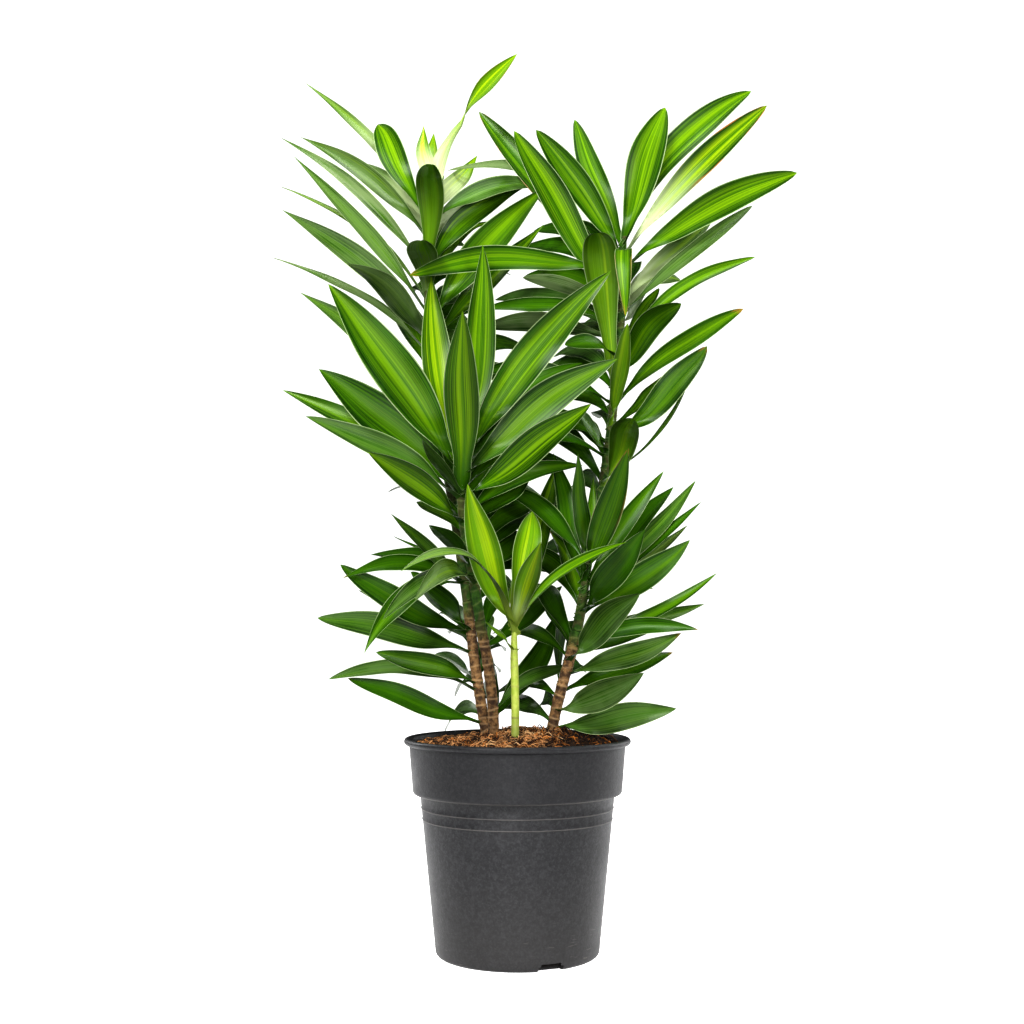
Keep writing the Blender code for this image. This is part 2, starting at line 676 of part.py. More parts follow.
def pot_outside():
    """The outer side from the rim down to the base."""
    bead_x = RIM_RADIUS - BEAD_RADIUS
    bead_z = POT_HEIGHT - BEAD_RADIUS
    side = arc(bead_x, bead_z, BEAD_RADIUS, *BEAD_ARC, BEAD_POINTS)
    side.append((COLLAR_TOP_RADIUS, bead_z - BEAD_RADIUS - 1.0))
    side += arc(COLLAR_FOOT_RADIUS - COLLAR_ROUND, COLLAR_FOOT, COLLAR_ROUND, *COLLAR_ARC, CORNER_POINTS)
    side.append((BODY_TOP_RADIUS, BODY_TOP))
    for height in RING_HEIGHTS:
        side.append((body_radius(height + RING_HALF_HEIGHT), height + RING_HALF_HEIGHT))
        side.append((body_radius(height) + RING_PROUD, height))
        side.append((body_radius(height - RING_HALF_HEIGHT), height - RING_HALF_HEIGHT))
    side.append((body_radius(ABOVE_DRAINS), ABOVE_DRAINS))
    side.append((BODY_FOOT_RADIUS, BODY_FOOT))
    side += arc(BASE_RADIUS, BODY_FOOT, BODY_FOOT, *BASE_ARC, CORNER_POINTS)
    return side


def turned(name, profile, steps, group):
    """A closed turned shape: the profile runs out from the axis and back to it, down its outer side."""
    points = [(radius, 0.0, height) for radius, height in profile]
    mesh = mesh_of(name, points, [])
    mesh.edges.add(len(points) - 1)
    for index, edge in enumerate(mesh.edges):
        edge.vertices = (index, index + 1)
    item = new_object(name, mesh, group)
    screw = item.modifiers.new("turn", "SCREW")
    screw.steps = steps
    screw.render_steps = steps
    screw.use_merge_vertices = True
    screw.merge_threshold = 0.01 * MM
    return item


def cut(item, cutter):
    difference = item.modifiers.new(cutter.name, "BOOLEAN")
    difference.operation = "DIFFERENCE"
    difference.solver = "EXACT"
    difference.object = cutter


def hide_cutter(cutter):
    cutter.hide_render = True
    cutter.display_type = "WIRE"


def drain_cutters(group):
    """Blocks across the corner of wall and base, where water drains."""
    cutters = []
    for number in range(DRAIN_COUNT):
        angle = DRAIN_FIRST + math.tau * number / DRAIN_COUNT
        shape = bmesh.new()
        bmesh.ops.create_cube(shape, size=1.0)
        size = Matrix.Diagonal((DRAIN_DEPTH * MM, DRAIN_WIDTH * MM, 2 * DRAIN_HEIGHT * MM, 1.0))
        bmesh.ops.transform(shape, matrix=size, verts=shape.verts)
        mesh = bpy.data.meshes.new(f"drain_{number}")
        shape.to_mesh(mesh)
        shape.free()
        cutter = new_object(f"drain_{number}", mesh, group)
        reach = (BODY_FOOT_RADIUS - WALL) * MM
        cutter.location = (reach * math.cos(angle), reach * math.sin(angle), 0.0)
        cutter.rotation_euler.z = angle
        hide_cutter(cutter)
        cutters.append(cutter)
    return cutters


def make_pot(group, cutters):
    profile = [(0.0, FLOOR)] + pot_inside()[::-1] + pot_outside() + [(0.0, 0.0)]
    pot = turned("pot", profile, POT_STEPS, group)
    for cutter in drain_cutters(cutters):
        cut(pot, cutter)
    return pot


def soil_top(x, y, reach):
    """Height of the coir: a low mound with lumps that fade at the wall."""
    share = min(1.0, math.hypot(x, y) / reach)
    lumps = noise.noise(Vector((x, y, 0.0)) / SOIL_LUMP_SIZE)
    return SOIL_EDGE + SOIL_MOUND * (1.0 - share**2) + SOIL_LUMP * lumps * (1.0 - share**SOIL_FADE_POWER)


def make_soil(group, cutters, stems):
    """Turned block that fills the pot, its top raised into a lumpy mound, with a hole for each stem."""
    walls = [(radius - SIDE_GAP, height + GAP) for radius, height in pot_inside()]
    (top_radius, top_height), (step_radius, step_height) = walls[:2]
    share = (SOIL_EDGE - step_height) / (top_height - step_height)
    reach = step_radius + (top_radius - step_radius) * share
    walls[0] = (reach, SOIL_EDGE)
    top = [(reach * ring / SOIL_RINGS, SOIL_EDGE) for ring in range(SOIL_RINGS)]
    soil = turned("soil", top + walls + [(0.0, FLOOR + GAP)], SOIL_SECTORS, group)
    bake_modifiers(soil)
    for vertex in soil.data.vertices:
        if abs(vertex.co.z - SOIL_EDGE * MM) < 0.01 * MM:
            vertex.co.z = soil_top(vertex.co.x / MM, vertex.co.y / MM, reach) * MM
    soil_line = SOIL_EDGE + SOIL_MOUND + ELEVATION_DROP
    for cane in stems:
        rings = [(on_cane(cane, height), CANES[cane].radius + HOLE_CLEARANCE)
                 for height in (STEM_FOOT - GAP, CANES[cane].points[0][2], soil_line + 2 * SOIL_LUMP)]
        cutter = tube("hole_" + cane, rings, HOLE_SIDES, cutters)
        hide_cutter(cutter)
        cut(soil, cutter)
    return soil


# Leafy stems


def fuse(item, shapes):
    """Joins the shapes to the object as one body."""
    group = new_collection(item.name + "_parts")
    for name, (points, faces) in shapes:
        new_object(name, mesh_of(name, points, faces), group)
    union = item.modifiers.new("join", "BOOLEAN")
    union.operation = "UNION"
    union.operand_type = "COLLECTION"
    union.collection = group
    union.solver = "EXACT"
    bake_modifiers(item)
    for part in list(group.objects):
        bpy.data.objects.remove(part)
    bpy.data.collections.remove(group)


def make_stems(group):
    """One tube for each section; the second section of a forked trunk comes back as a shape to fuse."""
    stems = {}
    forks = {}
    for section in SECTIONS:
        name = section.node if section.node not in stems else section.node + "_fork"
        item = tube(name, section_rings(section), section.sides, group)
        if section.node in stems:
            forks[section.node] = item
        else:
            stems[section.node] = item
    return stems, forks


def finish_kind(node):
    return node.split("_")[0]


def main():
    clear_scene()
    parts = new_collection("potted_dracaena")
    cutters = new_collection("cutters")
    pot = make_pot(parts, cutters)
    soil = make_soil(parts, cutters, ("left_rear", "left_front", "right_front", "front_shoot"))
    stems, forks = make_stems(parts)
    canopy = Canopy()
    for node, item in [("pot", pot), ("soil", soil), *stems.items(), *forks.items()]:
        canopy.add_body(node, item)
    leaves = set_front_leaves(canopy)
    leaves += set_rear_leaves(canopy)
    for node, stem in stems.items():
        shapes = [(f"{node}_leaf_{number}", blade(leaf))
                  for number, leaf in enumerate(leaves) if leaf.node == node]
        if node in forks:
            shapes.append((node + "_branch", shape_of(forks[node])))
            bpy.data.objects.remove(forks[node])
        fuse(stem, shapes)
    for item in parts.objects:
        item.data.materials.clear()
        item.data.materials.append(finish_for(finish_kind(item.name)))
    for name in ("pot", "soil"):
        parts.objects[name].data.shade_smooth()
        parts.objects[name].data.set_sharp_from_angle(angle=math.radians(35.0))


main()
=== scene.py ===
"""Looks of the potted dracaena: fine leaves, canes, coir and pot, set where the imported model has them.

Shapes are worked out in millimetres in the part's own frame, and made in metres.
"""

import math
import random
from collections import namedtuple

import bmesh
import bpy
import numpy as np
from mathutils import Matrix, Vector, noise
from mathutils.kdtree import KDTree


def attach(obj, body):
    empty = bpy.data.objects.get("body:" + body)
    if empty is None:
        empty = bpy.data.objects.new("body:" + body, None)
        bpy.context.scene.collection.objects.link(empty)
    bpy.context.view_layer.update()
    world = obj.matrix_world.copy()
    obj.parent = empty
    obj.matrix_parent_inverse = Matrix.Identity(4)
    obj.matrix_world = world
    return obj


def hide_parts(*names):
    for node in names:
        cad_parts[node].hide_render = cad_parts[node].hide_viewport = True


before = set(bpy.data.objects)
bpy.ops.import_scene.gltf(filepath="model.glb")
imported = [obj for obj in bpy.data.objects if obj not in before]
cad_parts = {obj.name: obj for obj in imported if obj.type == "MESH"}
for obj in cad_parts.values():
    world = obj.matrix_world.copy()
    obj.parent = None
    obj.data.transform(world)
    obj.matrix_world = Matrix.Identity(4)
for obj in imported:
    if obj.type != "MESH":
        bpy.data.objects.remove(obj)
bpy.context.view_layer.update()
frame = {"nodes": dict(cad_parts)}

MM = 0.001
UP = Vector((0.0, 0.0, 1.0))
BODY = "root"

# The photograph's camera. The elevation below is what it sees on the plane y = 0, with every height
# read too high by the drop.
EYE = Vector((-5.0, -1317.0, 308.0))
ELEVATION_DROP = 8.0
PITCH = math.radians(4.27)
FOCAL_PIXELS = 1405.0
FRAME_PIXELS = 1024.0
SENSOR = 36.0

# Canes and where each node's stretch of them runs, as in the part
Cane = namedtuple("Cane", "points radius")
CANES = {
    "left_rear": Cane(
        [(-28, 14, 205), (-32, 14, 225), (-36, 15, 250), (-40, 16, 275), (-43, 18, 300), (-48, 23, 340),
         (-57, 31, 400), (-70, 37, 480), (-80, 38, 560), (-85, 34, 640), (-86, 30, 742)], 5.0),
    "left_front": Cane(
        [(-22, -14, 205), (-23, -14, 235), (-26, -15, 262), (-29, -16, 281), (-33, -18, 301),
         (-37, -21, 327), (-41, -25, 352), (-47, -29, 384), (-52, -33, 420), (-55, -35, 476)], 4.9),
    "right_front": Cane(
        [(31, 0, 205), (36, 0, 230), (41, 1, 250), (47, 1, 270), (52, 1, 290), (57, 0, 310),
         (61, -2, 335), (66, -4, 378)], 5.1),
    "right_rear": Cane(
        [(45, 4, 264), (52, 12, 287), (60, 21, 325), (68, 29, 380), (79, 34, 432), (88, 37, 490),
         (94, 37, 550), (99, 35, 610), (103, 33, 690)], 4.6),
    "front_shoot": Cane(
        [(-2, -38, 203), (-2, -38, 240), (-3, -38, 290), (-2, -38, 340)], 3.8),
}
Section = namedtuple("Section", "node cane low high")
SECTIONS = [
    Section("trunk_left_rear", "left_rear", 168.0, 330.0),
    Section("crown_left_tall", "left_rear", 330.3, 730.0),
    Section("trunk_left_front", "left_front", 168.0, 313.0),
    Section("crown_left_front", "left_front", 313.3, 468.0),
    Section("trunk_right", "right_front", 168.0, 303.0),
    Section("crown_right_short", "right_front", 303.3, 370.0),
    Section("trunk_right", "right_rear", 266.0, 338.0),
    Section("crown_right_tall", "right_rear", 338.3, 678.0),
    Section("shoot_front", "front_shoot", 168.0, 326.0),
]

# Blades, as in the part
BLADE_FOOT = 0.2
BLADE_FOOT_POWER = 1.7
BLADE_WIDEST = 0.53
BLADE_TIP_POWER = 0.85
BLADE_CHANNEL = 0.2
BLADE_THICKNESS = 1.4
TWIST_END = 0.35
LEAN_IN = 0.35
FACING_SHARE = 0.55
LEAST_HIDDEN = 0.25
BROAD_RING = 0.57
NARROW_RING = 0.48
BROAD_WIDTH = 20.0
SWINGS = (0, 7, -7, 14, -14, 22, -22, 30, -30, 40, -40, 52, -52, 66, -66)
KNEE_SWINGS = (0, 12, -12, 24, -24)
FOUND_WITHIN = 0.2

# Leaves seen from the front: for each cane, how far its leaves reach, then a row for each leaf. A row
# has the height of the root on its cane, then the tip across and its height; the lean, from -1 towards
# the front to 1 towards the back; width; bow, as a share of the length; facing, from 1 with its upper
# face to the front, through 0 as it grows, to -1 with its underside there. A last number from 0 to 1 is
# for a leaf that turns over in depth near its seen end, and a name for a leaf whose colour stands out.
# The low leaves of the left rear cane have a reach of their own.
FRONT_LEAVES = {
    "left_rear": (190.0, [
        (640, -82, 748, -0.75, 27, 0.02, -0.9, 0.95, "folded"),
        (615, -92, 674, -0.8, 28, 0.02, -0.9, 0.95, "folded_grey"),
        (695, 0, 857, 0.1, 22, 0.03, 0.9, "twisted"),
        (690, -134, 787, 0.4, 28, 0.02, 1.0, 0.95, "bright"),
        (675, -208, 775, 0.4, 19, 0.07, 1.0, "hazy"),
        (640, -228, 775, 0.3, 15, 0.07, 0.7, "silver"),
        (600, -215, 757, -0.2, 20, 0.03, 0.6, "slate"),
        (590, -225, 704, -0.3, 25, 0.05, 0.9, "slate"),
        (695, -205, 829, 0.5, 14, 0.05, 0.6, "pale"),
        (612, -228, 727, 0.2, 12, 0.09, 0.4, "hazy"),
        (560, -235, 658, 0.3, 15, 0.08, 0.4, "silver"),
        (505, -207, 624, -0.2, 26, 0.05, 0.8),
        (570, -163, 652, -0.7, 24, 0.1, -0.8, "hazy"),
        (535, -141, 638, 0.8, 25, 0.08, 0.8),
        (690, -153, 752, 0.8, 16, 0.04, 0.7, "pale"),
        (680, -134, 732, 1.0, 17, 0.04, 0.8, "pale"),
        (640, 10, 727, 0.4, 24, 0.11, 0.9, "bright"),
        (665, -15, 737, 0.6, 14, 0.08, 0.6, "pale"),
        (590, 30, 728, 0.3, 33, 0.05, 0.9),
        (690, -38, 757, 0.9, 20, 0.02, 0.9, "bleached"),
        (712, -90, 786, 0.25, 17, 0.02, 0.9, "bleached"),
        (708, -80, 779, 0.6, 17, 0.02, 0.9, "bleached"),
        (625, -15, 694, 0.5, 13, 0.13, 0.4),
        (575, 26, 690, 0.6, 22, 0.02, 0.8, "bright"),
    ]),
    "left_front": (200.0, [
        (428, -52, 606, -0.25, 32, 0.03, -0.9, "centre"),
        (440, -180, 632, -0.3, 42, 0.035, 0.95),
        (448, 90, 645, -0.4, 33, 0.06, 0.95, "bright"),
        (440, 95, 560, -0.3, 36, 0.06, 0.9),
        (425, -188, 550, -0.2, 39, 0.05, 0.95),
        (425, 70, 517, -0.7, 30, 0.0, 0.9, "bright"),
        (450, -82, 640, 0.3, 30, -0.05, 1.0, "lime"),
        (462, -33, 670, 0.35, 29, -0.05, 1.0, "bright"),
        (400, -141, 471, -0.6, 26, 0.05, 0.9, "bright"),
        (435, -222, 530, 0.2, 21, 0.04, 0.8),
        (424, -200, 505, -0.3, 25, 0.06, 0.7),
        (432, -112, 521, 0.9, 22, 0.05, 0.5),
        (430, -90, 483, -0.5, 12, 0.0, -0.3),
        (405, -122, 433, 0.7, 12, 0.12, 0.1),
        (392, -95, 424, 0.8, 20, 0.05, 0.4),
        (400, 14, 452, 0.2, 26, 0.0, 0.5, "dark"),
        (466, 62, 556, 0.6, 24, 0.1, 0.5, "dark"),
        (458, 8, 522, 0.8, 20, 0.05, -0.3),
        (362, -83, 402, -0.5, 18, 0.05, -0.3, "dark"),
        (352, -126, 313, -0.8, 17, 0.1, 0.7, "slate"),
        (345, -96, 332, -0.9, 18, 0.1, 0.9, "hazy"),
        (285, -17, 224, 0.5, 14, 0.12, 0.4, "dark"),
        (222, 36, 318, 0.6, 24, -0.06, 0.8, "dark"),
        (285, 42, 345, 0.7, 22, 0.0, 0.6, "dark"),
    ]),
    "front_shoot": (150.0, [
        (300, -47, 441, 0.1, 29, -0.03, 1.0, "young"),
        (308, 14, 415, 0.1, 25, 0.0, 1.0, 0.6, "young"),
        (318, -5, 366, 0.1, 7, 0.0, 1.0, "young"),
        (302, 103, 386, -0.3, 18, 0.12, 0.4, "bright"),
        (298, -110, 358, -0.6, 15, 0.28, 0.3, "hazy"),
        (283, -30, 312, -0.2, 8, 0.05, 0.5, "tender"),
        (305, 22, 386, -0.4, 20, 0.03, -0.6, "sunlit"),
        (305, 38, 461, 0.95, 22, 0.0, 0.9, "bright"),
    ]),
    "right_rear": (190.0, [
        (530, 76, 681, -0.5, 34, 0.02, -0.95, 0.9, "folded"),
        (665, 142, 804, 0.2, 35, 0.03, 1.0, "bright"),
        (605, -3, 781, -0.1, 29, 0.0, 0.9),
        (645, 268, 740, -0.1, 31, 0.06, 0.9, "bright"),
        (668, 225, 820, 0.1, 30, 0.1, 0.9, "bright"),
        (658, 240, 806, 0.3, 26, 0.04, 0.9, "scorched"),
        (660, 55, 792, 0.4, 23, 0.0, 0.9),
        (650, 18, 782, 0.1, 28, 0.04, 0.95),
        (628, -37, 800, 0.2, 26, 0.01, 0.9, "edge"),
        (640, -103, 640, -0.3, 25, 0.08, 0.8, "dry_tip"),
        (652, -67, 742, 0.5, 15, 0.18, 0.6, "silver"),
        (600, 225, 708, 0.1, 20, 0.02, 0.6, "slate"),
        (612, 186, 694, 0.4, 20, 0.03, 0.9, "pale"),
        (563, 227, 658, -0.1, 15, 0.11, 0.7),
        (530, 156, 613, -0.3, 26, 0.12, 0.95),
        (512, 215, 608, 0.1, 21, 0.06, 0.9, "dry_tip"),
        (480, 180, 572, -0.2, 28, -0.04, 0.9),
        (490, 105, 594, -0.4, 17, 0.0, 0.9, "folded"),
        (432, 110, 503, -0.6, 29, 0.0, 0.95, 0.7, "folded"),
        (625, 103, 600, -0.8, 16, 0.3, 0.6),
        (595, 157, 634, 0.9, 22, 0.12, 0.7, "pale"),
        (590, 127, 635, 0.9, 17, 0.0, -0.7, "pale"),
        (572, 135, 628, 0.6, 13, 0.0, 0.6),
        (450, 163, 542, 0.3, 9, -0.1, 0.1),
        (492, 150, 550, 0.6, 15, 0.0, 0.3),
        (560, 45, 573, -0.2, 18, 0.12, 0.6, "dark"),
        (572, 56, 593, 0.5, 10, 0.1, 0.1),
        (600, 5, 638, 0.2, 17, 0.08, -0.8, "silver"),
        (470, 57, 511, -0.4, 18, 0.0, 0.6),
        (462, 50, 493, 0.5, 18, 0.15, 0.6),
        (498, 62, 523, 0.7, 12, 0.1, -0.3),
        (442, 38, 480, 0.5, 14, 0.05, -0.3),
        (618, 42, 634, 0.7, 18, 0.08, -0.8, "silver"),
        (575, -32, 590, 0.4, 22, 0.08, -0.8, "silver"),
        (590, -30, 608, -0.1, 17, 0.1, 0.7, "dark"),
    ]),
    "right_front": (160.0, [
        (316, 120, 398, -0.5, 28, 0.0, 0.9),
        (345, 105, 475, -0.3, 27, 0.0, 0.95),
        (350, 57, 470, -0.2, 19, 0.0, 0.8),
        (272, 115, 338, -0.8, 29, 0.04, 0.95),
        (340, 138, 453, 0.2, 18, 0.02, 0.8),
        (338, 147, 438, -0.1, 23, 0.03, 0.8),
        (332, 168, 444, 0.3, 18, -0.02, 0.7),
        (328, 173, 424, 0.1, 14, 0.0, 0.5),
        (322, 162, 388, -0.2, 28, -0.04, 0.9),
        (322, 160, 402, 0.5, 16, 0.0, 0.4, "pale"),
        (345, 34, 470, 0.4, 20, 0.0, 0.8, "dark"),
        (358, 72, 448, 0.3, 11, 0.0, 0.7, "bright"),
        (322, 30, 397, -0.2, 22, 0.1, 0.6, "dry_tip"),
        (228, 118, 264, -0.8, 26, -0.02, 0.95),
        (212, 148, 231, -0.3, 25, 0.0, 0.95),
        (262, 153, 301, -0.3, 22, -0.02, 0.85),
        (245, 145, 283, 0.5, 21, 0.02, 0.8),
        (285, 169, 304, -0.4, 17, 0.1, 0.8),
        (280, 130, 306, 0.8, 14, 0.0, 0.4),
        (288, 175, 328, 0.3, 16, 0.03, 0.7),
        (285, 187, 357, -0.2, 15, -0.03, 0.6),
        (283, 38, 257, 0.6, 16, 0.3, -0.5),
        (286, 24, 333, 0.6, 9, 0.0, 0.1),
    ]),
    "left_rear_low": (150.0, [
        (300, -166, 365, -0.4, 26, -0.04, 0.9),
        (281, -187, 315, -0.3, 27, 0.04, 0.85),
        (345, -119, 413, -0.3, 22, 0.0, 0.5),
        (347, -143, 282, -0.8, 23, 0.17, 0.6),
        (300, -100, 358, -0.5, 24, 0.03, 0.7, "dark"),
        (350, -138, 374, 0.3, 18, 0.11, -0.8),
        (352, -117, 392, 0.5, 10, 0.03, 0.1, "dark"),
        (345, -164, 352, -0.3, 18, 0.16, 0.7),
        (295, -149, 341, 0.2, 13, 0.0, -0.4),
        (252, -132, 283, -0.4, 20, 0.05, 0.85),
        (245, -176, 258, -0.3, 18, 0.13, 0.6),
        (216, -158, 259, -0.2, 20, 0.0, 0.85),
        (255, -77, 281, 0.8, 14, 0.05, -0.7),
        (250, -58, 242, 1.0, 16, 0.1, 0.4),
    ]),
}

# Leaves on the far side. Each row: cane, first and last root height, spacing, length, width, how far a
# leaf rises at the bottom and at the top of the stretch, and the sector the leaves fill, in degrees.
GOLDEN_ANGLE = math.radians(137.5)
REAR_LEAVES = [
    ("left_rear", 350, 700, 12.5, 165, 29, 0, 22, (30, 100)),
    ("right_rear", 352, 650, 12.5, 165, 29, 0, 28, (78, 150)),
    ("left_front", 330, 462, 12.5, 150, 29, 10, 35, (30, 100)),
    ("right_front", 312, 366, 10.0, 140, 25, 15, 40, (75, 140)),
    ("left_rear", 222, 316, 12.0, 140, 20, -10, 15, (45, 110)),
    ("right_front", 216, 288, 12.0, 140, 20, -10, 15, (70, 135)),
    ("left_front", 225, 298, 24.0, 130, 18, 0, 20, (50, 120)),
]
REAR_BOW = 0.12
REAR_FACING = 0.5
REAR_SEED = 29
REAR_JITTER = 0.2
REAR_SIZES = (0.85, 1.05)
REAR_TURNS = (0, 9, -9, 18, -18, 27, -27)
REAR_RISES = (0, 10, -10, 20)

# Each look, every value from 0 to 1: how much lime the middle has, how yellow that is, dry tip, dry
# edge, how much whitish painted sheen lies on it, and how much of the lower half is whitened, which
# is real bleaching on some looks and painted light on the pale and sunlit ones
Look = namedtuple("Look", "lime yellow tip edge silver washed", defaults=(0.0,) * 5)
LOOKS = {
    "dark": Look(0.15),
    "bright": Look(0.9, 0.15),
    "centre": Look(0.85, 0.3),
    # Folded looks: full lime, partly their own stripes and partly painted light, in place of light shining
    # through the fold
    "folded": Look(1.0, 0.5, silver=0.1),
    "folded_grey": Look(1.0, 0.3, silver=0.9),
    "lime": Look(0.97, 0.6),
    # Pale: painted light, leaves whitened as if lit through from behind, with painted sheen
    "pale": Look(0.7, 0.4, silver=0.5, washed=0.7),
    "hazy": Look(0.85, 0.3, silver=0.6),
    "silver": Look(0.2, silver=1.0),
    "slate": Look(0.35, silver=0.5),
    "tender": Look(1.0, 0.15),
    # Sunlit: painted light, a face that lies in shade coloured lime and yellow as if in sun
    "sunlit": Look(1.0, 1.0, washed=0.3),
    "young": Look(1.0, 0.75),
    "bleached": Look(1.0, 1.0, tip=0.2, washed=0.9),
    "twisted": Look(1.0, 1.0, edge=0.3, washed=0.7),
    "dry_tip": Look(0.6, 0.1, tip=0.7),
    "edge": Look(0.7, 0.1, tip=0.3, edge=0.9),
    "scorched": Look(0.94, 0.7, tip=0.3, edge=1.0, washed=0.55),
}
# Looks whose underside has the colours of the upper face
ALIKE_BELOW = ("centre", "folded", "folded_grey", "sunlit", "tender", "twisted", "young")
# What chance gives the other leaves: ranges, strengths and odds, and more lime for high roots
PLAIN_LIME = (0.05, 0.45)
PLAIN_YELLOW = (0.0, 0.2)
PLAIN_PAINTED_SHEEN = (0.2, 0.5)
PAINTED_SHEEN_ODDS = 0.25
DRY_TIP = 0.6
DRY_TIP_ODDS = 0.1
DRY_EDGE = 0.3
DRY_EDGE_ODDS = 0.05
YOUNG_LIME = 0.4
YOUNG_ROOTS = (300.0, 560.0)
REAR_LIME = (0.0, 0.3)
REAR_PAINTED_SHEEN = 0.3
REAR_PAINTED_SHEEN_ODDS = 0.2

Leaf = namedtuple("Leaf", "node root knee tip width roll")

# Fine blades: steps along and across, how much closer rings stand at both ends, the angle that makes an
# edge sharp, and how the channel curves
ALONG = 30
ACROSS = 8
RING_EASE = 0.03
EDGE_ANGLE = 70.0
CHANNEL_POWER = 1.5
SEED = 7
# Foot: its least half-width and the share of the blade that has it, and how it clasps the stem
FOOT_HALF = 4.6
FOOT_END = 0.16
FOOT_WRAP = 0.05
FOOT_CLASP = 0.9
# How broad a blade stays towards its foot, as a share of its width, and the stretch that holds it
FOOT_SHARES = {"shoot_front": 0.62, "crown_left_front": 0.52}
FOOT_SHARE = 0.42
FOOT_RISE = (-0.05, 0.12)
FOOT_FALL = (0.9, 0.3)
# Thickness below the centre face, with a rib along the middle and a thin skin beside it, and the share
# of it that is added above
RIB_THICK = 0.9
RIB_REACH = 0.12
SKIN_THICK = 0.35
SKIN_ABOVE = 0.1
# Waved edges: their size as a share of the width, how many waves, and how far one edge lags the other
WAVE_SIZE = 0.05
WAVE_SIZES = (0.15, 1.0)
WAVE_COUNTS = (1.5, 3.2)
WAVE_LAG = 1.9
WAVE_FADE = 0.7
# The sway of the centre line, the curl of the tip and the slimness of the blade
SWAY = 2.6
CURL = 2.2
CURLS = (0.2, 1.0)
SLIMNESS = (0.95, 1.04)
# Where a blade is widest and how drawn out its tip is, by the node that bears it
FINE_OUTLINES = {
    "crown_right_tall": (0.60, 0.66),
    "crown_left_tall": (0.48, 1.10),
    "trunk_left_rear": (0.52, 0.70),
    "shoot_front": (0.55, 0.90),
}
FINE_OUTLINE = (0.53, 0.86)
# The blade that turns over: where it does, and the widths of its two parts
TURN_OVER = (0.50, 0.68)
TWISTED_KNEE_SHIFT = Vector((-24.0, 0.0, 6.0))
TWISTED_LOWER = 0.68
TWISTED_NARROWS = (0.62, 0.20)
TWISTED_WAIST = 0.10
TWISTED_WIDENS = 0.57
TWISTED_UPPER = 0.74
TWISTED_WIDEST = 0.80
TWISTED_TIP_POWER = 0.9


def place(across, depth, height):
    """The point at this depth that the elevation shows at these sizes across and up."""
    spread = 1.0 - depth / EYE.y
    up = height - ELEVATION_DROP - EYE.z
    return Vector((EYE.x + (across - EYE.x) * spread, depth, EYE.z + up * spread))


def on_cane(name, height):
    """The cane's centre at a height on the elevation; below its first point it stands straight down."""
    points = CANES[name].points
    if height <= points[0][2]:
        return place(*points[0]) - UP * (points[0][2] - height)
    index = 0
    while index < len(points) - 2 and points[index + 1][2] < height:
        index += 1
    before = points[max(index - 1, 0)]
    start, end = points[index], points[index + 1]
    after = points[min(index + 2, len(points) - 1)]
    run = end[2] - start[2]
    share = (height - start[2]) / run
    bend = []
    for axis in (0, 1):
        slope_in = (end[axis] - before[axis]) / max(end[2] - before[2], 1.0) * run
        slope_out = (after[axis] - start[axis]) / max(after[2] - start[2], 1.0) * run
        bend.append(
            (2 * share**3 - 3 * share**2 + 1) * start[axis]
            + (share**3 - 2 * share**2 + share) * slope_in
            + (3 * share**2 - 2 * share**3) * end[axis]
            + (share**3 - share**2) * slope_out)
    return place(bend[0], bend[1], height)


def outline(share):
    """Half-width along a blade, as a share of its widest."""
    if share < BLADE_WIDEST:
        swell = math.sin(math.pi / 2 * share / BLADE_WIDEST) ** BLADE_FOOT_POWER
        return BLADE_FOOT + (1.0 - BLADE_FOOT) * swell
    beyond = (share - BLADE_WIDEST) / (1.0 - BLADE_WIDEST)
    return max(math.cos(math.pi / 2 * beyond), 0.0) ** BLADE_TIP_POWER


def spine(leaf, share):
    """Point and direction on the blade's centre line."""
    rest = 1.0 - share
    point = leaf.root * rest**2 + leaf.knee * (2 * share * rest) + leaf.tip * share**2
    along = (leaf.knee - leaf.root) * rest + (leaf.tip - leaf.knee) * share
    return point, along.normalized()


def natural_normal(leaf, along):
    """The way an untwisted blade's upper face looks: up, and in towards its cane."""
    outward = leaf.tip - leaf.root
    outward.z = 0.0
    wish = UP - outward.normalized() * LEAN_IN
    return (wish - along * wish.dot(along)).normalized()


def front_roll(leaf, facing):
    """The turn about the blade's line that brings its upper face, or its underside, to the front."""
    point, along = spine(leaf, FACING_SHARE)
    upper = natural_normal(leaf, along)
    view = (EYE - point).normalized() * (1.0 if facing > 0 else -1.0)
    view = (view - along * view.dot(along)).normalized()
    angle = math.atan2(along.dot(upper.cross(view)), upper.dot(view))
    return angle * abs(facing)


def blade_axes(leaf, share):
    """Centre, sideways direction and upper normal of a blade's section."""
    point, along = spine(leaf, share)
    turn = min(1.0, share / TWIST_END)
    roll = leaf.roll * turn * turn * (3.0 - 2.0 * turn)
    normal = Matrix.Rotation(roll, 3, along) @ natural_normal(leaf, along)
    return point, along.cross(normal), normal


def node_at(cane, height):
    """The node whose stretch of the cane holds this height."""
    for section in SECTIONS:
        if section.cane == cane and section.low <= height <= section.high:
            return section.node
    raise ValueError(f"no stretch of {cane} at {height}")


def bowed(node, root, tip, width, bow):
    """A leaf whose line rises above its chord by a share of its length."""
    chord = tip - root
    lift = (UP - chord.normalized() * chord.normalized().dot(UP)).normalized()
    knee = (root + tip) / 2 + lift * (2.0 * bow * chord.length)
    return Leaf(node, root, knee, tip, width, 0.0)


def hooked_knee(leaf, hook):
    """The knee of a leaf that rises beside the elevation's plane, then turns over in depth."""
    depth = leaf.root.y + (leaf.tip.y - leaf.root.y) * (1.0 - hook) / 2
    above = EYE + (leaf.tip - EYE) * ((depth - EYE.y) / (leaf.tip.y - EYE.y))
    return leaf.knee.lerp(above, hook)


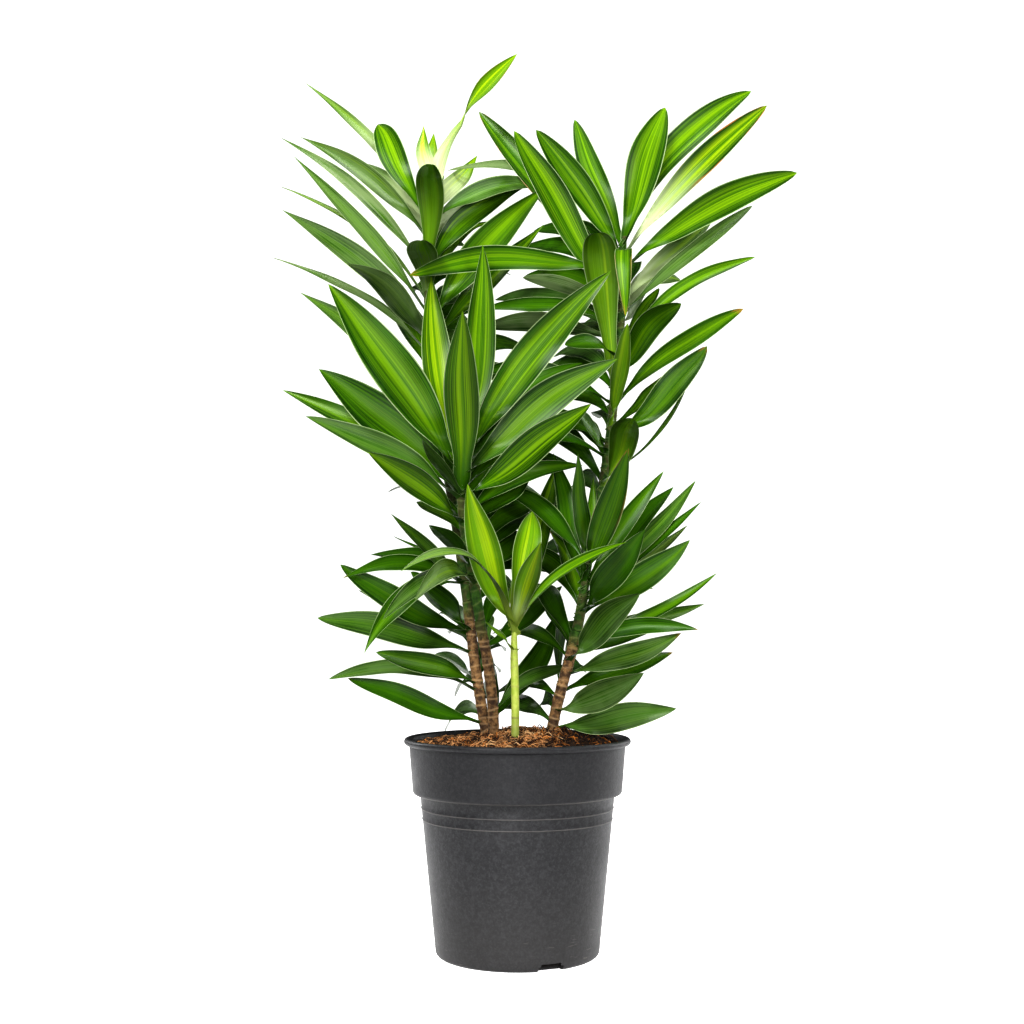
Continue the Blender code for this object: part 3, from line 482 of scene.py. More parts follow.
def front_leaf(cane, reach, row, swing=0.0, knee_swing=0.0):
    """A leaf of the elevation; one that looks short there runs the rest of its reach in depth."""
    height, across, tip_height, lean, width, bow, facing, *hook = row
    root = on_cane(cane, height)
    seen = Vector((across - root.x, tip_height - root.z)).length
    hidden = math.sqrt(max(reach**2 - seen**2, (LEAST_HIDDEN * reach) ** 2))
    tip = place(across, root.y + lean * hidden + swing, tip_height)
    leaf = bowed(node_at(cane, height), root, tip, width, bow)
    if hook:
        leaf = leaf._replace(knee=hooked_knee(leaf, hook[0]))
    leaf = leaf._replace(knee=leaf.knee + Vector((0.0, knee_swing, 0.0)))
    return leaf._replace(roll=front_roll(leaf, facing) if facing else 0.0)


def rear_leaf(cane, height, heading, rise, length, width):
    """A leaf that grows this way from its cane, rising by so many degrees."""
    slope = math.radians(rise)
    flat = Vector((math.cos(heading), math.sin(heading), 0.0))
    root = on_cane(cane, height)
    tip = root + (flat * math.cos(slope) + UP * math.sin(slope)) * length
    leaf = bowed(node_at(cane, height), root, tip, width, REAR_BOW)
    return leaf._replace(roll=front_roll(leaf, REAR_FACING))


class PackedLeaves:
    """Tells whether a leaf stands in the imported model: its tip and edges are corners of the node."""

    def __init__(self, nodes):
        self.trees = {}
        for name, item in nodes.items():
            tree = KDTree(len(item.data.vertices))
            for vertex in item.data.vertices:
                tree.insert(vertex.co / MM, vertex.index)
            tree.balance()
            self.trees[name] = tree

    def near(self, node, point):
        return self.trees[node].find(point)[2] < FOUND_WITHIN

    def first(self, tries):
        """The first of these leaves that stands in the model, if any does."""
        return next((leaf for leaf in tries if self.holds(leaf)), None)

    def holds(self, leaf):
        if not self.near(leaf.node, leaf.tip):
            return False
        share = BROAD_RING if leaf.width > BROAD_WIDTH else NARROW_RING
        centre, side, normal = blade_axes(leaf, share)
        half = leaf.width / 2 * outline(share)
        rise = normal * (half * BLADE_CHANNEL)
        thick = normal * (BLADE_THICKNESS / 2)
        corners = (centre - side * half + rise, centre + side * half + rise, centre + thick, centre - thick)
        return sum(self.near(leaf.node, corner) for corner in corners) > 1


def find_front_leaves(packed):
    """The elevation's leaves as the model holds them, with the name of each one's look."""
    found = []
    for key, (reach, rows) in FRONT_LEAVES.items():
        cane = key.replace("_low", "")
        for row in rows:
            look = row[-1] if isinstance(row[-1], str) else None
            numbers = [value for value in row if not isinstance(value, str)]
            leaf = packed.first(front_leaf(cane, reach, numbers, swing, knee_swing)
                                for knee_swing in KNEE_SWINGS for swing in SWINGS)
            if leaf:
                found.append((leaf, look))
            else:
                print("not in the model:", key, row)
    return found


def find_rear_leaves(packed):
    """The far side's leaves, by the golden angle, as the model holds them."""
    found = []
    draw = random.Random(REAR_SEED)
    for cane, low, high, pitch, length, width, rise_low, rise_high, sector in REAR_LEAVES:
        start, end = (math.radians(angle) for angle in sector)
        count = int((high - low) / pitch) + 1
        for step in range(count):
            height = low + pitch * step
            azimuth = (step * GOLDEN_ANGLE + draw.uniform(-REAR_JITTER, REAR_JITTER)) % math.tau
            size = draw.uniform(*REAR_SIZES)
            rise = rise_low + (rise_high - rise_low) * step / max(count - 1, 1)
            if not start < azimuth < end:
                azimuth = start + (azimuth / math.tau) * (end - start)
            leaf = packed.first(
                rear_leaf(cane, height, azimuth + math.radians(turn), rise + lift, length * size,
                          width * size)
                for lift in REAR_RISES for turn in REAR_TURNS)
            if leaf:
                found.append((leaf, "rear"))
    return found


# Meshes


class Sheets:
    """Points, faces and per-point values of many shapes that become one mesh."""

    def __init__(self, names):
        self.points = []
        self.faces = []
        self.values = {name: [] for name in names}

    def add(self, points, faces, **values):
        start = len(self.points)
        self.points += points
        self.faces += [tuple(start + index for index in face) for face in faces]
        for name, rows in values.items():
            self.values[name] += rows

    def build(self, name, material, sharp_degrees=180.0):
        mesh = bpy.data.meshes.new(name)
        mesh.from_pydata([tuple(point * MM) for point in self.points], [], self.faces)
        for key, rows in self.values.items():
            layer = mesh.attributes.new(key, "FLOAT_COLOR", "POINT")
            layer.data.foreach_set("color", np.array(rows, np.float32).ravel())
        mesh.shade_smooth()
        mesh.set_sharp_from_angle(angle=math.radians(sharp_degrees))
        mesh.materials.append(material)
        return link(name, mesh)


def link(name, data):
    """An object with this mesh, light or camera, put in the scene."""
    item = bpy.data.objects.new(name, data)
    bpy.context.scene.collection.objects.link(item)
    return item


def ring_faces(rings, sides, closed_ends=True):
    """Faces that join rings of points, each with the same number of sides."""
    faces = []
    for ring in range(rings - 1):
        for side in range(sides):
            a = ring * sides + side
            b = ring * sides + (side + 1) % sides
            faces.append((a, b, b + sides, a + sides))
    if closed_ends:
        faces.append(tuple(reversed(range(sides))))
        faces.append(tuple(range((rings - 1) * sides, rings * sides)))
    return faces


def around(count):
    """Angles evenly round a circle."""
    return [math.tau * step / count for step in range(count)]


def smoothstep(low, high, value):
    """Smooth rise from 0 to 1 between two values, or fall where the first is the larger."""
    share = min(max((value - low) / (high - low), 0.0), 1.0)
    return share * share * (3.0 - 2.0 * share)


def finish_piece(piece, node, slot):
    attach(piece, BODY)
    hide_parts(node)


# Fine blades


def turned_over(leaf, share):
    """Axes of a blade whose lower part shows its underside, with a full half turn above its middle."""
    centre, side, normal = blade_axes(leaf, share)
    along = spine(leaf, share)[1]
    flip = Matrix.Rotation(math.pi * (1.0 - smoothstep(*TURN_OVER, share)), 3, along)
    return centre, flip @ side, flip @ normal


def fine_outline(leaf, share):
    """Half-width along a fine blade, as a share of its widest."""
    widest, power = FINE_OUTLINES.get(leaf.node, FINE_OUTLINE)
    if share < widest:
        return outline(share * BLADE_WIDEST / widest)
    return math.cos(math.pi / 2 * (share - widest) / (1.0 - widest)) ** power


def twisted_outline(share):
    """The widths of the turned-over blade: a slim lower part, a waist and a blade above it."""
    lower = TWISTED_LOWER * smoothstep(*TWISTED_NARROWS, share) + TWISTED_WAIST
    beyond = max(share - TWISTED_WIDEST, 0.0) / (1.0 - TWISTED_WIDEST)
    upper = TWISTED_UPPER * smoothstep(TWISTED_WIDENS, TWISTED_WIDEST, share)
    upper *= math.cos(math.pi / 2 * beyond) ** TWISTED_TIP_POWER
    return max(lower, upper) if share < TWISTED_WIDEST else upper


Shape = namedtuple("Shape", "phase waves wave_size sway curl slim seed")


def draw_shape(leaf, draw):
    """What chance gives a blade: waves, sway, curl of its tip, slimness and the seed of its stripes."""
    return Shape(
        phase=draw.uniform(0.0, math.tau),
        waves=draw.uniform(*WAVE_COUNTS),
        wave_size=draw.uniform(*WAVE_SIZES) * WAVE_SIZE * leaf.width,
        sway=draw.uniform(-SWAY, SWAY),
        curl=draw.uniform(*CURLS) * CURL,
        slim=draw.uniform(*SLIMNESS),
        seed=draw.random())


def half_width(leaf, name, share, slim):
    """Half a fine blade's width, never less than its foot's."""
    widths = twisted_outline(share) if name == "twisted" else fine_outline(leaf, share) * slim
    half = max(leaf.width / 2 * widths, FOOT_HALF * smoothstep(FOOT_END, 0.0, share))
    if name == "rear":
        return half
    foot_half = FOOT_SHARES.get(leaf.node, FOOT_SHARE) * leaf.width / 2
    return max(half, foot_half * smoothstep(*FOOT_RISE, share) * smoothstep(*FOOT_FALL, share))


def rise_across(shape, column, share, half):
    """How far a point across a blade stands above its middle: channel, clasping foot, waved edge."""
    reach = abs(column)
    channel = half * BLADE_CHANNEL * reach**CHANNEL_POWER
    clasp = half * FOOT_CLASP * math.exp(-share / FOOT_WRAP) * reach**2
    phase = shape.phase + (WAVE_LAG if column > 0 else 0.0)
    wave = shape.wave_size * math.sin(math.pi * share) ** WAVE_FADE * reach**2
    return channel + clasp + wave * math.sin(shape.waves * math.tau * share + phase)


def skin_at(column, share):
    """Thickness of a blade at a point across it; it thins towards the tip."""
    reach = abs(column)
    skin = SKIN_THICK * (1.0 - reach) + (RIB_THICK - SKIN_THICK) * math.exp(-((reach / RIB_REACH) ** 2))
    return skin * (1.0 - share / 2)


def fine_blade(leaf, draw, name):
    """A thin blade: clasping foot, shallow channel with a rib, softly waved edges, curled tip."""
    axes = turned_over if name == "twisted" else blade_axes
    shape = draw_shape(leaf, draw)
    pale_below = 0.0 if name in ALIKE_BELOW else 1.0
    columns = [2.0 * step / ACROSS - 1.0 for step in range(ACROSS + 1)]
    loop = [(column, False) for column in columns] + [(column, True) for column in columns[-2:0:-1]]
    points = []
    values = []
    for ring in range(ALONG):
        share = ring / ALONG
        share -= RING_EASE * math.sin(math.tau * share)
        centre, side, normal = axes(leaf, share)
        centre = centre + side * (shape.sway * math.sin(math.tau * share) * math.sin(math.pi * share))
        centre = centre - UP * (shape.curl * math.sin(math.pi * share**2) * share)
        half = half_width(leaf, name, share, shape.slim)
        for column, under in loop:
            skin = skin_at(column, share)
            rise = rise_across(shape, column, share, half) + (-skin if under else SKIN_ABOVE * skin)
            points.append(centre + side * (half * column) + normal * rise)
            values.append(((column + 1.0) / 2, share, shape.seed, pale_below if under else 0.0))
    sides = len(loop)
    faces = ring_faces(ALONG, sides, closed_ends=False)
    faces.append(tuple(reversed(range(sides))))
    apex = len(points)
    points.append(leaf.tip.copy())
    values.append((0.5, 1.0, shape.seed, 0.0))
    last = (ALONG - 1) * sides
    faces += [(last + step, last + (step + 1) % sides, apex) for step in range(sides)]
    return points, faces, values


def look_of(leaf, name, draw):
    """Colour values of a leaf: named, or by chance with more lime near the top of the plant."""
    if name == "rear":
        lime = draw.uniform(*REAR_LIME)
        return Look(lime, silver=REAR_PAINTED_SHEEN if draw.random() < REAR_PAINTED_SHEEN_ODDS else 0.0)
    if name:
        return LOOKS[name]
    young = smoothstep(*YOUNG_ROOTS, leaf.root.z)
    return Look(
        draw.uniform(*PLAIN_LIME) + YOUNG_LIME * young,
        draw.uniform(*PLAIN_YELLOW),
        tip=DRY_TIP if draw.random() < DRY_TIP_ODDS else 0.0,
        edge=DRY_EDGE if draw.random() < DRY_EDGE_ODDS else 0.0,
        silver=draw.uniform(*PLAIN_PAINTED_SHEEN) if draw.random() < PAINTED_SHEEN_ODDS else 0.0)


def make_leaves(found, material):
    """One piece of leaves for each node."""
    draw = random.Random(SEED)
    sheets = {}
    for leaf, name in found:
        if name == "twisted":
            leaf = leaf._replace(knee=leaf.knee + TWISTED_KNEE_SHIFT)
        points, faces, values = fine_blade(leaf, draw, name)
        look = look_of(leaf, name, draw)
        fresh = 1.0 if leaf.node == "shoot_front" else 0.0
        sheet = sheets.setdefault(leaf.node, Sheets(("blade", "look", "sheen")))
        sheet.add(points, faces, blade=values, look=[look[:4]] * len(points),
                  sheen=[(look.silver, look.washed, fresh, 1.0)] * len(points))
    for node, sheet in sheets.items():
        piece = sheet.build("leaves_" + node, material, EDGE_ANGLE)
        finish_piece(piece, node, "young_leaf" if node == "shoot_front" else "leaf")


# Canes

CANE_STEP = 1.0
CANE_SIDES = 24
CANE_SEED = SEED * 31
# Ring scars: half-height, how far from one it is still felt, and the ranges of size, tilt and spacing
SCAR_HALF = 0.8
SCAR_REACH = 3.0
SCAR_SIZES = (0.35, 1.0)
SCAR_TILTS = (-0.9, 0.9)
SCAR_SPACINGS = (0.55, 1.45)
# Roughness: the height of its patches, and how much it changes round the cane
ROUGH_SIZE = 5.0
ROUGH_TURNS = 1.6
# The last stretch of bark turns green, and the last stretch of a green stem loses a share of its girth
GREENING = 22.0
TAPER_LENGTH = 60.0
TAPER = 0.5
# The two kinds of cane: slot, girth as a share of the cane's, spacing and slant of the scars, and how
# much scars and roughness swell it
Kind = namedtuple("Kind", "name slot girth pitch slant scar_swell rough_swell")
BARK = Kind("bark", "bark", 1.0, 8.0, 1.5, 0.10, 0.09)
STEM = Kind("stem", "leaf", 0.95, 9.0, 5.0, 0.05, 0.02)


def draw_scars(section, pitch, draw):
    """Height, size and tilt of each ring scar on a section."""
    scars = []
    height = section.low
    while height < section.high:
        scars.append((height, draw.uniform(*SCAR_SIZES), draw.uniform(*SCAR_TILTS)))
        height += pitch * draw.uniform(*SCAR_SPACINGS)
    return scars


def scar_at(scars, height, angle, slant):
    """How strongly a scar shows at a point of a cane."""
    strength = 0.0
    for scar_height, size, tilt in scars:
        away = height - scar_height - tilt * math.cos(angle) * slant
        if abs(away) < SCAR_REACH:
            strength = max(strength, size * math.exp(-((away / SCAR_HALF) ** 2)))
    return strength


def cane_sheet(section, kind, number):
    """The stem of a section, with values for its scars, its green stretch and its height."""
    radius = CANES[section.cane].radius * kind.girth
    scars = draw_scars(section, kind.pitch, random.Random(CANE_SEED + number))
    rings = max(2, int((section.high - section.low) / CANE_STEP))
    points = []
    values = []
    for ring in range(rings + 1):
        height = section.low + (section.high - section.low) * ring / rings
        centre = on_cane(section.cane, height)
        along = (on_cane(section.cane, height + 1.0) - on_cane(section.cane, height - 1.0)).normalized()
        side = along.cross(Vector((0.0, 1.0, 0.0))).normalized()
        front = side.cross(along)
        green = smoothstep(section.high - GREENING, section.high, height)
        taper = 1.0
        if kind is STEM:
            green = 1.0
            taper -= TAPER * smoothstep(section.high - TAPER_LENGTH, section.high, height)
        for angle in around(CANE_SIDES):
            scar = scar_at(scars, height, angle, kind.slant)
            spot = Vector((math.cos(angle) * ROUGH_TURNS, math.sin(angle) * ROUGH_TURNS,
                           height / ROUGH_SIZE + number))
            swell = (1.0 + kind.scar_swell * scar + kind.rough_swell * noise.noise(spot)) * taper
            points.append(centre + (side * math.cos(angle) + front * math.sin(angle)) * radius * swell)
            values.append((scar, green, height * MM, 1.0))
    sheet = Sheets(("cane",))
    sheet.add(points, ring_faces(rings + 1, CANE_SIDES), cane=values)
    return sheet


def make_canes(cane, shoot_stem):
    """A stem for each section: ring scars on the bark, leaf scars on the green."""
    for number, section in enumerate(SECTIONS):
        kind = BARK if section.node.startswith("trunk") else STEM
        shoot = section.node == "shoot_front"
        suffix = "_fork" if kind is BARK and section.cane == "right_rear" else ""
        sheet = cane_sheet(section, kind, number)
        piece = sheet.build(f"{kind.name}_{section.node}{suffix}", shoot_stem if shoot else cane)
        finish_piece(piece, section.node, "young_leaf" if shoot else kind.slot)


# Pot

POT_HEIGHT = 196.5
RIM_RADIUS = 105.0
BEAD_RADIUS = 3.0
COLLAR_TOP_RADIUS = 100.6
COLLAR_FOOT_RADIUS = 96.9
COLLAR_FOOT = 149.0
COLLAR_ROUND = 3.5
BODY_TOP_RADIUS = 89.9
BODY_TOP = 145.0
BODY_FOOT_RADIUS = 75.3
BODY_FOOT = 4.5
BASE_RADIUS = 71.0
WALL = 1.8
FLOOR = 2.4
RING_HEIGHTS = (133.0, 123.0)
RING_PROUD = 0.55
RING_HALF_HEIGHT = 0.8
POT_STEPS = 160
POT_SHARP = 38.0
DRAIN_COUNT = 3
DRAIN_FIRST = math.radians(-67.0)
DRAIN_WIDTH = 24.0
DRAIN_HEIGHT = 7.0
DRAIN_DEPTH = 16.0
DRAIN_ROUND = 2.5


def arc(centre_x, centre_z, radius, start, end, count):
    """Points round an arc, its angles in degrees from +X towards +Z."""
    angles = [math.radians(start + (end - start) * step / (count - 1)) for step in range(count)]
    return [(centre_x + radius * math.cos(a), centre_z + radius * math.sin(a)) for a in angles]


def body_radius(height):
    share = (height - BODY_FOOT) / (BODY_TOP - BODY_FOOT)
    return BODY_FOOT_RADIUS + (BODY_TOP_RADIUS - BODY_FOOT_RADIUS) * share


def pot_inside():
    """Section from the floor's centre up the inside to the rim."""
    points = [(0.0, FLOOR), (BASE_RADIUS - WALL, FLOOR), (body_radius(BODY_FOOT) - WALL, BODY_FOOT)]
    points += [(body_radius(height) - WALL, height) for height in (10.0, 60.0, 110.0)]
    points.append((BODY_TOP_RADIUS - WALL, BODY_TOP + WALL / 2))
    points.append((COLLAR_FOOT_RADIUS - WALL, COLLAR_FOOT + WALL))
    points.append((COLLAR_TOP_RADIUS - WALL, POT_HEIGHT - 2 * BEAD_RADIUS))
    return points


def pot_outside():
    """Section over the rim's bead and down the outside to the base's centre."""
    bead_z = POT_HEIGHT - BEAD_RADIUS
    points = arc(RIM_RADIUS - BEAD_RADIUS, bead_z, BEAD_RADIUS, 160, -80, 15)
    points += [(COLLAR_TOP_RADIUS + 0.2, bead_z - BEAD_RADIUS - 0.8), (COLLAR_TOP_RADIUS - 0.3, 192.0)]
    points.append((COLLAR_FOOT_RADIUS + 0.6, COLLAR_FOOT + 8.0))
    points += arc(COLLAR_FOOT_RADIUS - COLLAR_ROUND, COLLAR_FOOT, COLLAR_ROUND, 0, -90, 7)
    points += [(BODY_TOP_RADIUS + 0.8, COLLAR_FOOT - COLLAR_ROUND), (BODY_TOP_RADIUS, BODY_TOP - 0.6)]
    for height in RING_HEIGHTS:
        points.append((body_radius(height) + RING_PROUD * 0.3, height + RING_HALF_HEIGHT * 1.6))
        points.append((body_radius(height) + RING_PROUD, height + RING_HALF_HEIGHT * 0.4))
        points.append((body_radius(height) + RING_PROUD, height - RING_HALF_HEIGHT * 0.2))
        points.append((body_radius(height - RING_HALF_HEIGHT), height - RING_HALF_HEIGHT))
    points += [(body_radius(height), height) for height in (100.0, 60.0, 25.0, 10.0)]
    points += arc(BODY_FOOT_RADIUS - BODY_FOOT, BODY_FOOT, BODY_FOOT, -6, -90, 7)
    points.append((0.0, 0.0))
    return points


def turned_mesh(name, profile, steps):
    """A mesh made by turning a section about the upright axis; its ends lie on the axis."""
    shape = bmesh.new()
    rows = []
    for radius, height in profile:
        if radius < 1e-6:
            rows.append([shape.verts.new((0.0, 0.0, height * MM))] * steps)
            continue
        rows.append([
            shape.verts.new((radius * math.cos(angle) * MM, radius * math.sin(angle) * MM, height * MM))
            for angle in around(steps)])
    for lower, upper in zip(rows, rows[1:]):
        for step in range(steps):
            after = (step + 1) % steps
            corners = [lower[step], lower[after], upper[after], upper[step]]
            shape.faces.new(list(dict.fromkeys(corners)))
    bmesh.ops.recalc_face_normals(shape, faces=shape.faces)
    return mesh_from(shape, name)


def mesh_from(shape, name):
    mesh = bpy.data.meshes.new(name)
    shape.to_mesh(mesh)
    shape.free()
    return mesh


def drain_cutter(number, angle):
    """A block that cuts one drain notch; its edges along the cut are rounded."""
    shape = bmesh.new()
    bmesh.ops.create_cube(shape, size=1.0)
    size = Matrix.Diagonal((DRAIN_DEPTH * MM, DRAIN_WIDTH * MM, 2 * DRAIN_HEIGHT * MM, 1.0))
    bmesh.ops.transform(shape, matrix=size, verts=shape.verts)
    radial = [edge for edge in shape.edges if abs(edge.verts[0].co.x - edge.verts[1].co.x) > 0.01]
    bmesh.ops.bevel(shape, geom=radial, offset=DRAIN_ROUND * MM, segments=3, affect="EDGES")
    cutter = link(f"drain_{number}", mesh_from(shape, "drain"))
    reach = (BODY_FOOT_RADIUS - WALL) * MM
    cutter.location = (reach * math.cos(angle), reach * math.sin(angle), 0.0)
    cutter.rotation_euler.z = angle
    return cutter


def make_pot(material):
    """The turned pot with its drain notches cut out."""
    pot = link("nursery_pot", turned_mesh("nursery_pot", pot_inside() + pot_outside(), POT_STEPS))
    cutters = [drain_cutter(number, DRAIN_FIRST + turn) for number, turn in enumerate(around(DRAIN_COUNT))]
    for cutter in cutters:
        cut = pot.modifiers.new("drain", "BOOLEAN")
        cut.operation = "DIFFERENCE"
        cut.solver = "EXACT"
        cut.object = cutter
    graph = bpy.context.evaluated_depsgraph_get()
    mesh = bpy.data.meshes.new_from_object(pot.evaluated_get(graph))
    pot.modifiers.clear()
    pot.data = mesh
    for cutter in cutters:
        bpy.data.objects.remove(cutter)
    mesh.shade_smooth()
    mesh.set_sharp_from_angle(angle=math.radians(POT_SHARP))
    mesh.materials.append(material)
    finish_piece(pot, "pot", "pot_plastic")


# Coir

SOIL_EDGE = 187.5
SOIL_RADIUS = 97.5
SOIL_RINGS = 60
SOIL_SECTORS = 160
SOIL_MOUND = 13.5
MOUND_PEAK = Vector((12.0, -12.0))
MOUND_SPREAD = 48.0
FLOOR_CLEAR = 0.3
WALL_CLEAR = 0.5
# Lumps, clods, crumbs and grit: how high and wide they are, the slice of noise they follow, which runs
# from -1 to 1, and the least of it that they take
Bumps = namedtuple("Bumps", "height width slice least")
SOIL_BUMPS = (
    Bumps(3.2, 13.0, 0.0, -1.0),
    Bumps(4.5, 8.5, 20.0, -0.1),
    Bumps(2.2, 4.2, 40.0, -1.0),
    Bumps(1.2, 1.9, 90.0, -1.0),
)
FIBRE_SIDES = 3
FIBRE_POINTS = 6
FIBRE_SEED = SEED * 5
FIBRE_TAPER = 0.7
# How near the pot's wall a strand may start and reach
START_GAP = 3.0
WALL_GAP = 1.0
# Brown strands all over and pale ones round the shoot: how many, and the ranges of their starts above
# the coir, length, half thickness, sag and curl
Fibres = namedtuple("Fibres", "count starts lengths sizes sags curls")
BROWN = Fibres(4300, (-0.8, 0.6), (3.0, 21.0), (0.16, 0.62), (-1.0, 5.0), (-1.6, 1.6))
PALE = Fibres(40, (-0.5, 1.0), (7.0, 20.0), (0.25, 0.6), (0.0, 3.0), (-0.9, 0.9))
# Middle and spread of the places of the pale ones
PALE_ACROSS = (6.0, 22.0)
PALE_DEPTH = (-50.0, 18.0)
PALE_TONES = (0.7, 1.0)
# Tones of the brown ones: alike in clumps, apart from a spread
CLUMP_WIDTH = 6.0
CLUMP_SLICE = 60.0
CLUMP_CONTRAST = 1.1
TONE_SPREAD = 0.3
# Painted shadow: the right side, where the leaves shade it, is darker between these places across
PAINTED_SHADOW_SIDE = (18.0, 50.0)
PAINTED_SHADOW_DARKENS = 0.62


def soil_top(x, y):
    """Height of the coir: a low mound with lumps that fade at the wall."""
    share = min(1.0, math.hypot(x, y) / SOIL_RADIUS)
    away = (Vector((x, y)) - MOUND_PEAK).length / MOUND_SPREAD
    rise = SOIL_MOUND * math.exp(-(away**2) / 2)
    for bumps in SOIL_BUMPS:
        rise += bumps.height * max(noise.noise(Vector((x, y, bumps.slice)) / bumps.width), bumps.least)
    return SOIL_EDGE + rise * (1.0 - share**8)


def make_soil(material):
    """The coir as one filled body, its top lifted into a mound."""
    inset = WALL + WALL_CLEAR
    profile = [
        (0.0, FLOOR + FLOOR_CLEAR),
        (BASE_RADIUS - WALL - 2 * FLOOR_CLEAR, FLOOR + FLOOR_CLEAR),
        (body_radius(BODY_FOOT) - inset, BODY_FOOT + WALL_CLEAR),
        (BODY_TOP_RADIUS - inset, BODY_TOP),
        (COLLAR_FOOT_RADIUS - inset, COLLAR_FOOT + WALL + 2 * WALL_CLEAR),
    ]
    profile += [(SOIL_RADIUS * (1.0 - ring / SOIL_RINGS), SOIL_EDGE) for ring in range(SOIL_RINGS)]
    profile.append((0.0, SOIL_EDGE))
    mesh = turned_mesh("coir", profile, SOIL_SECTORS)
    for vertex in mesh.vertices:
        if abs(vertex.co.z - SOIL_EDGE * MM) < 0.01 * MM:
            vertex.co.z = soil_top(vertex.co.x / MM, vertex.co.y / MM) * MM
    mesh.shade_smooth()
    mesh.materials.append(material)
    finish_piece(link("coir", mesh), "soil", "coir")


def strand(sheet, start, heading, length, thick, sag, curl, tone):
    """A curved fibre that follows the mound, as a thin tube."""
    points = []
    for step in range(FIBRE_POINTS):
        share = step / (FIBRE_POINTS - 1)
        turn = heading + curl * (share - 0.5)
        x = start.x + math.cos(turn) * length * (share - 0.5)
        y = start.y + math.sin(turn) * length * (share - 0.5)
        inward = min(1.0, (SOIL_RADIUS - WALL_GAP) / max(math.hypot(x, y), 1e-6))
        x *= inward
        y *= inward
        from_middle = abs(2.0 * share - 1.0)
        z = soil_top(x, y) + thick + start.z + sag * (1.0 - from_middle**2)
        size = thick * (1.0 - FIBRE_TAPER * from_middle**3)
        side = Vector((-math.sin(turn), math.cos(turn), 0.0))
        for angle in around(FIBRE_SIDES):
            points.append(Vector((x, y, z)) + (side * math.cos(angle) + UP * math.sin(angle)) * size)
    sheet.add(points, ring_faces(FIBRE_POINTS, FIBRE_SIDES), tone=[tone] * len(points))


def make_fibres(material):
    """Loose coir: many short strands over the mound, and a few pale ones round the shoot."""
    draw = random.Random(FIBRE_SEED)
    sheet = Sheets(("tone",))
    for _ in range(BROWN.count):
        angle = draw.uniform(0.0, math.tau)
        reach = (SOIL_RADIUS - START_GAP) * math.sqrt(draw.random())
        start = Vector((reach * math.cos(angle), reach * math.sin(angle), draw.uniform(*BROWN.starts)))
        length = draw.uniform(*BROWN.lengths)
        clump = noise.noise(Vector((start.x, start.y, CLUMP_SLICE)) / CLUMP_WIDTH)
        light = 0.5 + CLUMP_CONTRAST * clump + draw.uniform(-TONE_SPREAD, TONE_SPREAD)
        light = min(max(light, 0.0), 1.0)
        # Painted shadow: strands on the right side darker, where the leaves shade them
        light *= 1.0 - PAINTED_SHADOW_DARKENS * smoothstep(*PAINTED_SHADOW_SIDE, start.x)
        tone = (light, draw.random(), 0.0, 1.0)
        strand(sheet, start, draw.uniform(0.0, math.tau), length, draw.uniform(*BROWN.sizes),
               draw.uniform(*BROWN.sags), draw.uniform(*BROWN.curls), tone)
    for _ in range(PALE.count):
        start = Vector((draw.gauss(*PALE_ACROSS), draw.gauss(*PALE_DEPTH), draw.uniform(*PALE.starts)))
        strand(sheet, start, draw.uniform(0.0, math.tau), draw.uniform(*PALE.lengths),
               draw.uniform(*PALE.sizes), draw.uniform(*PALE.sags), draw.uniform(*PALE.curls),
               (draw.uniform(*PALE_TONES), draw.random(), 1.0, 1.0))
    finish_piece(sheet.build("coir_fibres", material), "soil", "coir")


# Materials


class Field:
    """A value that varies over a surface; sums and products of fields make its shader nodes."""

    def __init__(self, surface, socket):
        self.surface = surface
        self.socket = socket

    def __add__(self, other):
        return self.surface.math("ADD", self, other)

    def __sub__(self, other):
        return self.surface.math("SUBTRACT", self, other)

    def __mul__(self, other):
        return self.surface.math("MULTIPLY", self, other)

    def __abs__(self):
        return self.surface.math("ABSOLUTE", self)

    def step(self, low, high):
        """Smooth rise from 0 to 1 between two values, or fall where the first is the larger."""
        inputs = {0: self, 1: low, 2: high}
        return self.surface.field("ShaderNodeMapRange", inputs, interpolation_type="SMOOTHSTEP")

    def spread(self, low, high, first, last):
        """The value carried from one range over to another."""
        return self.surface.field("ShaderNodeMapRange", {0: self, 1: low, 2: high, 3: first, 4: last})


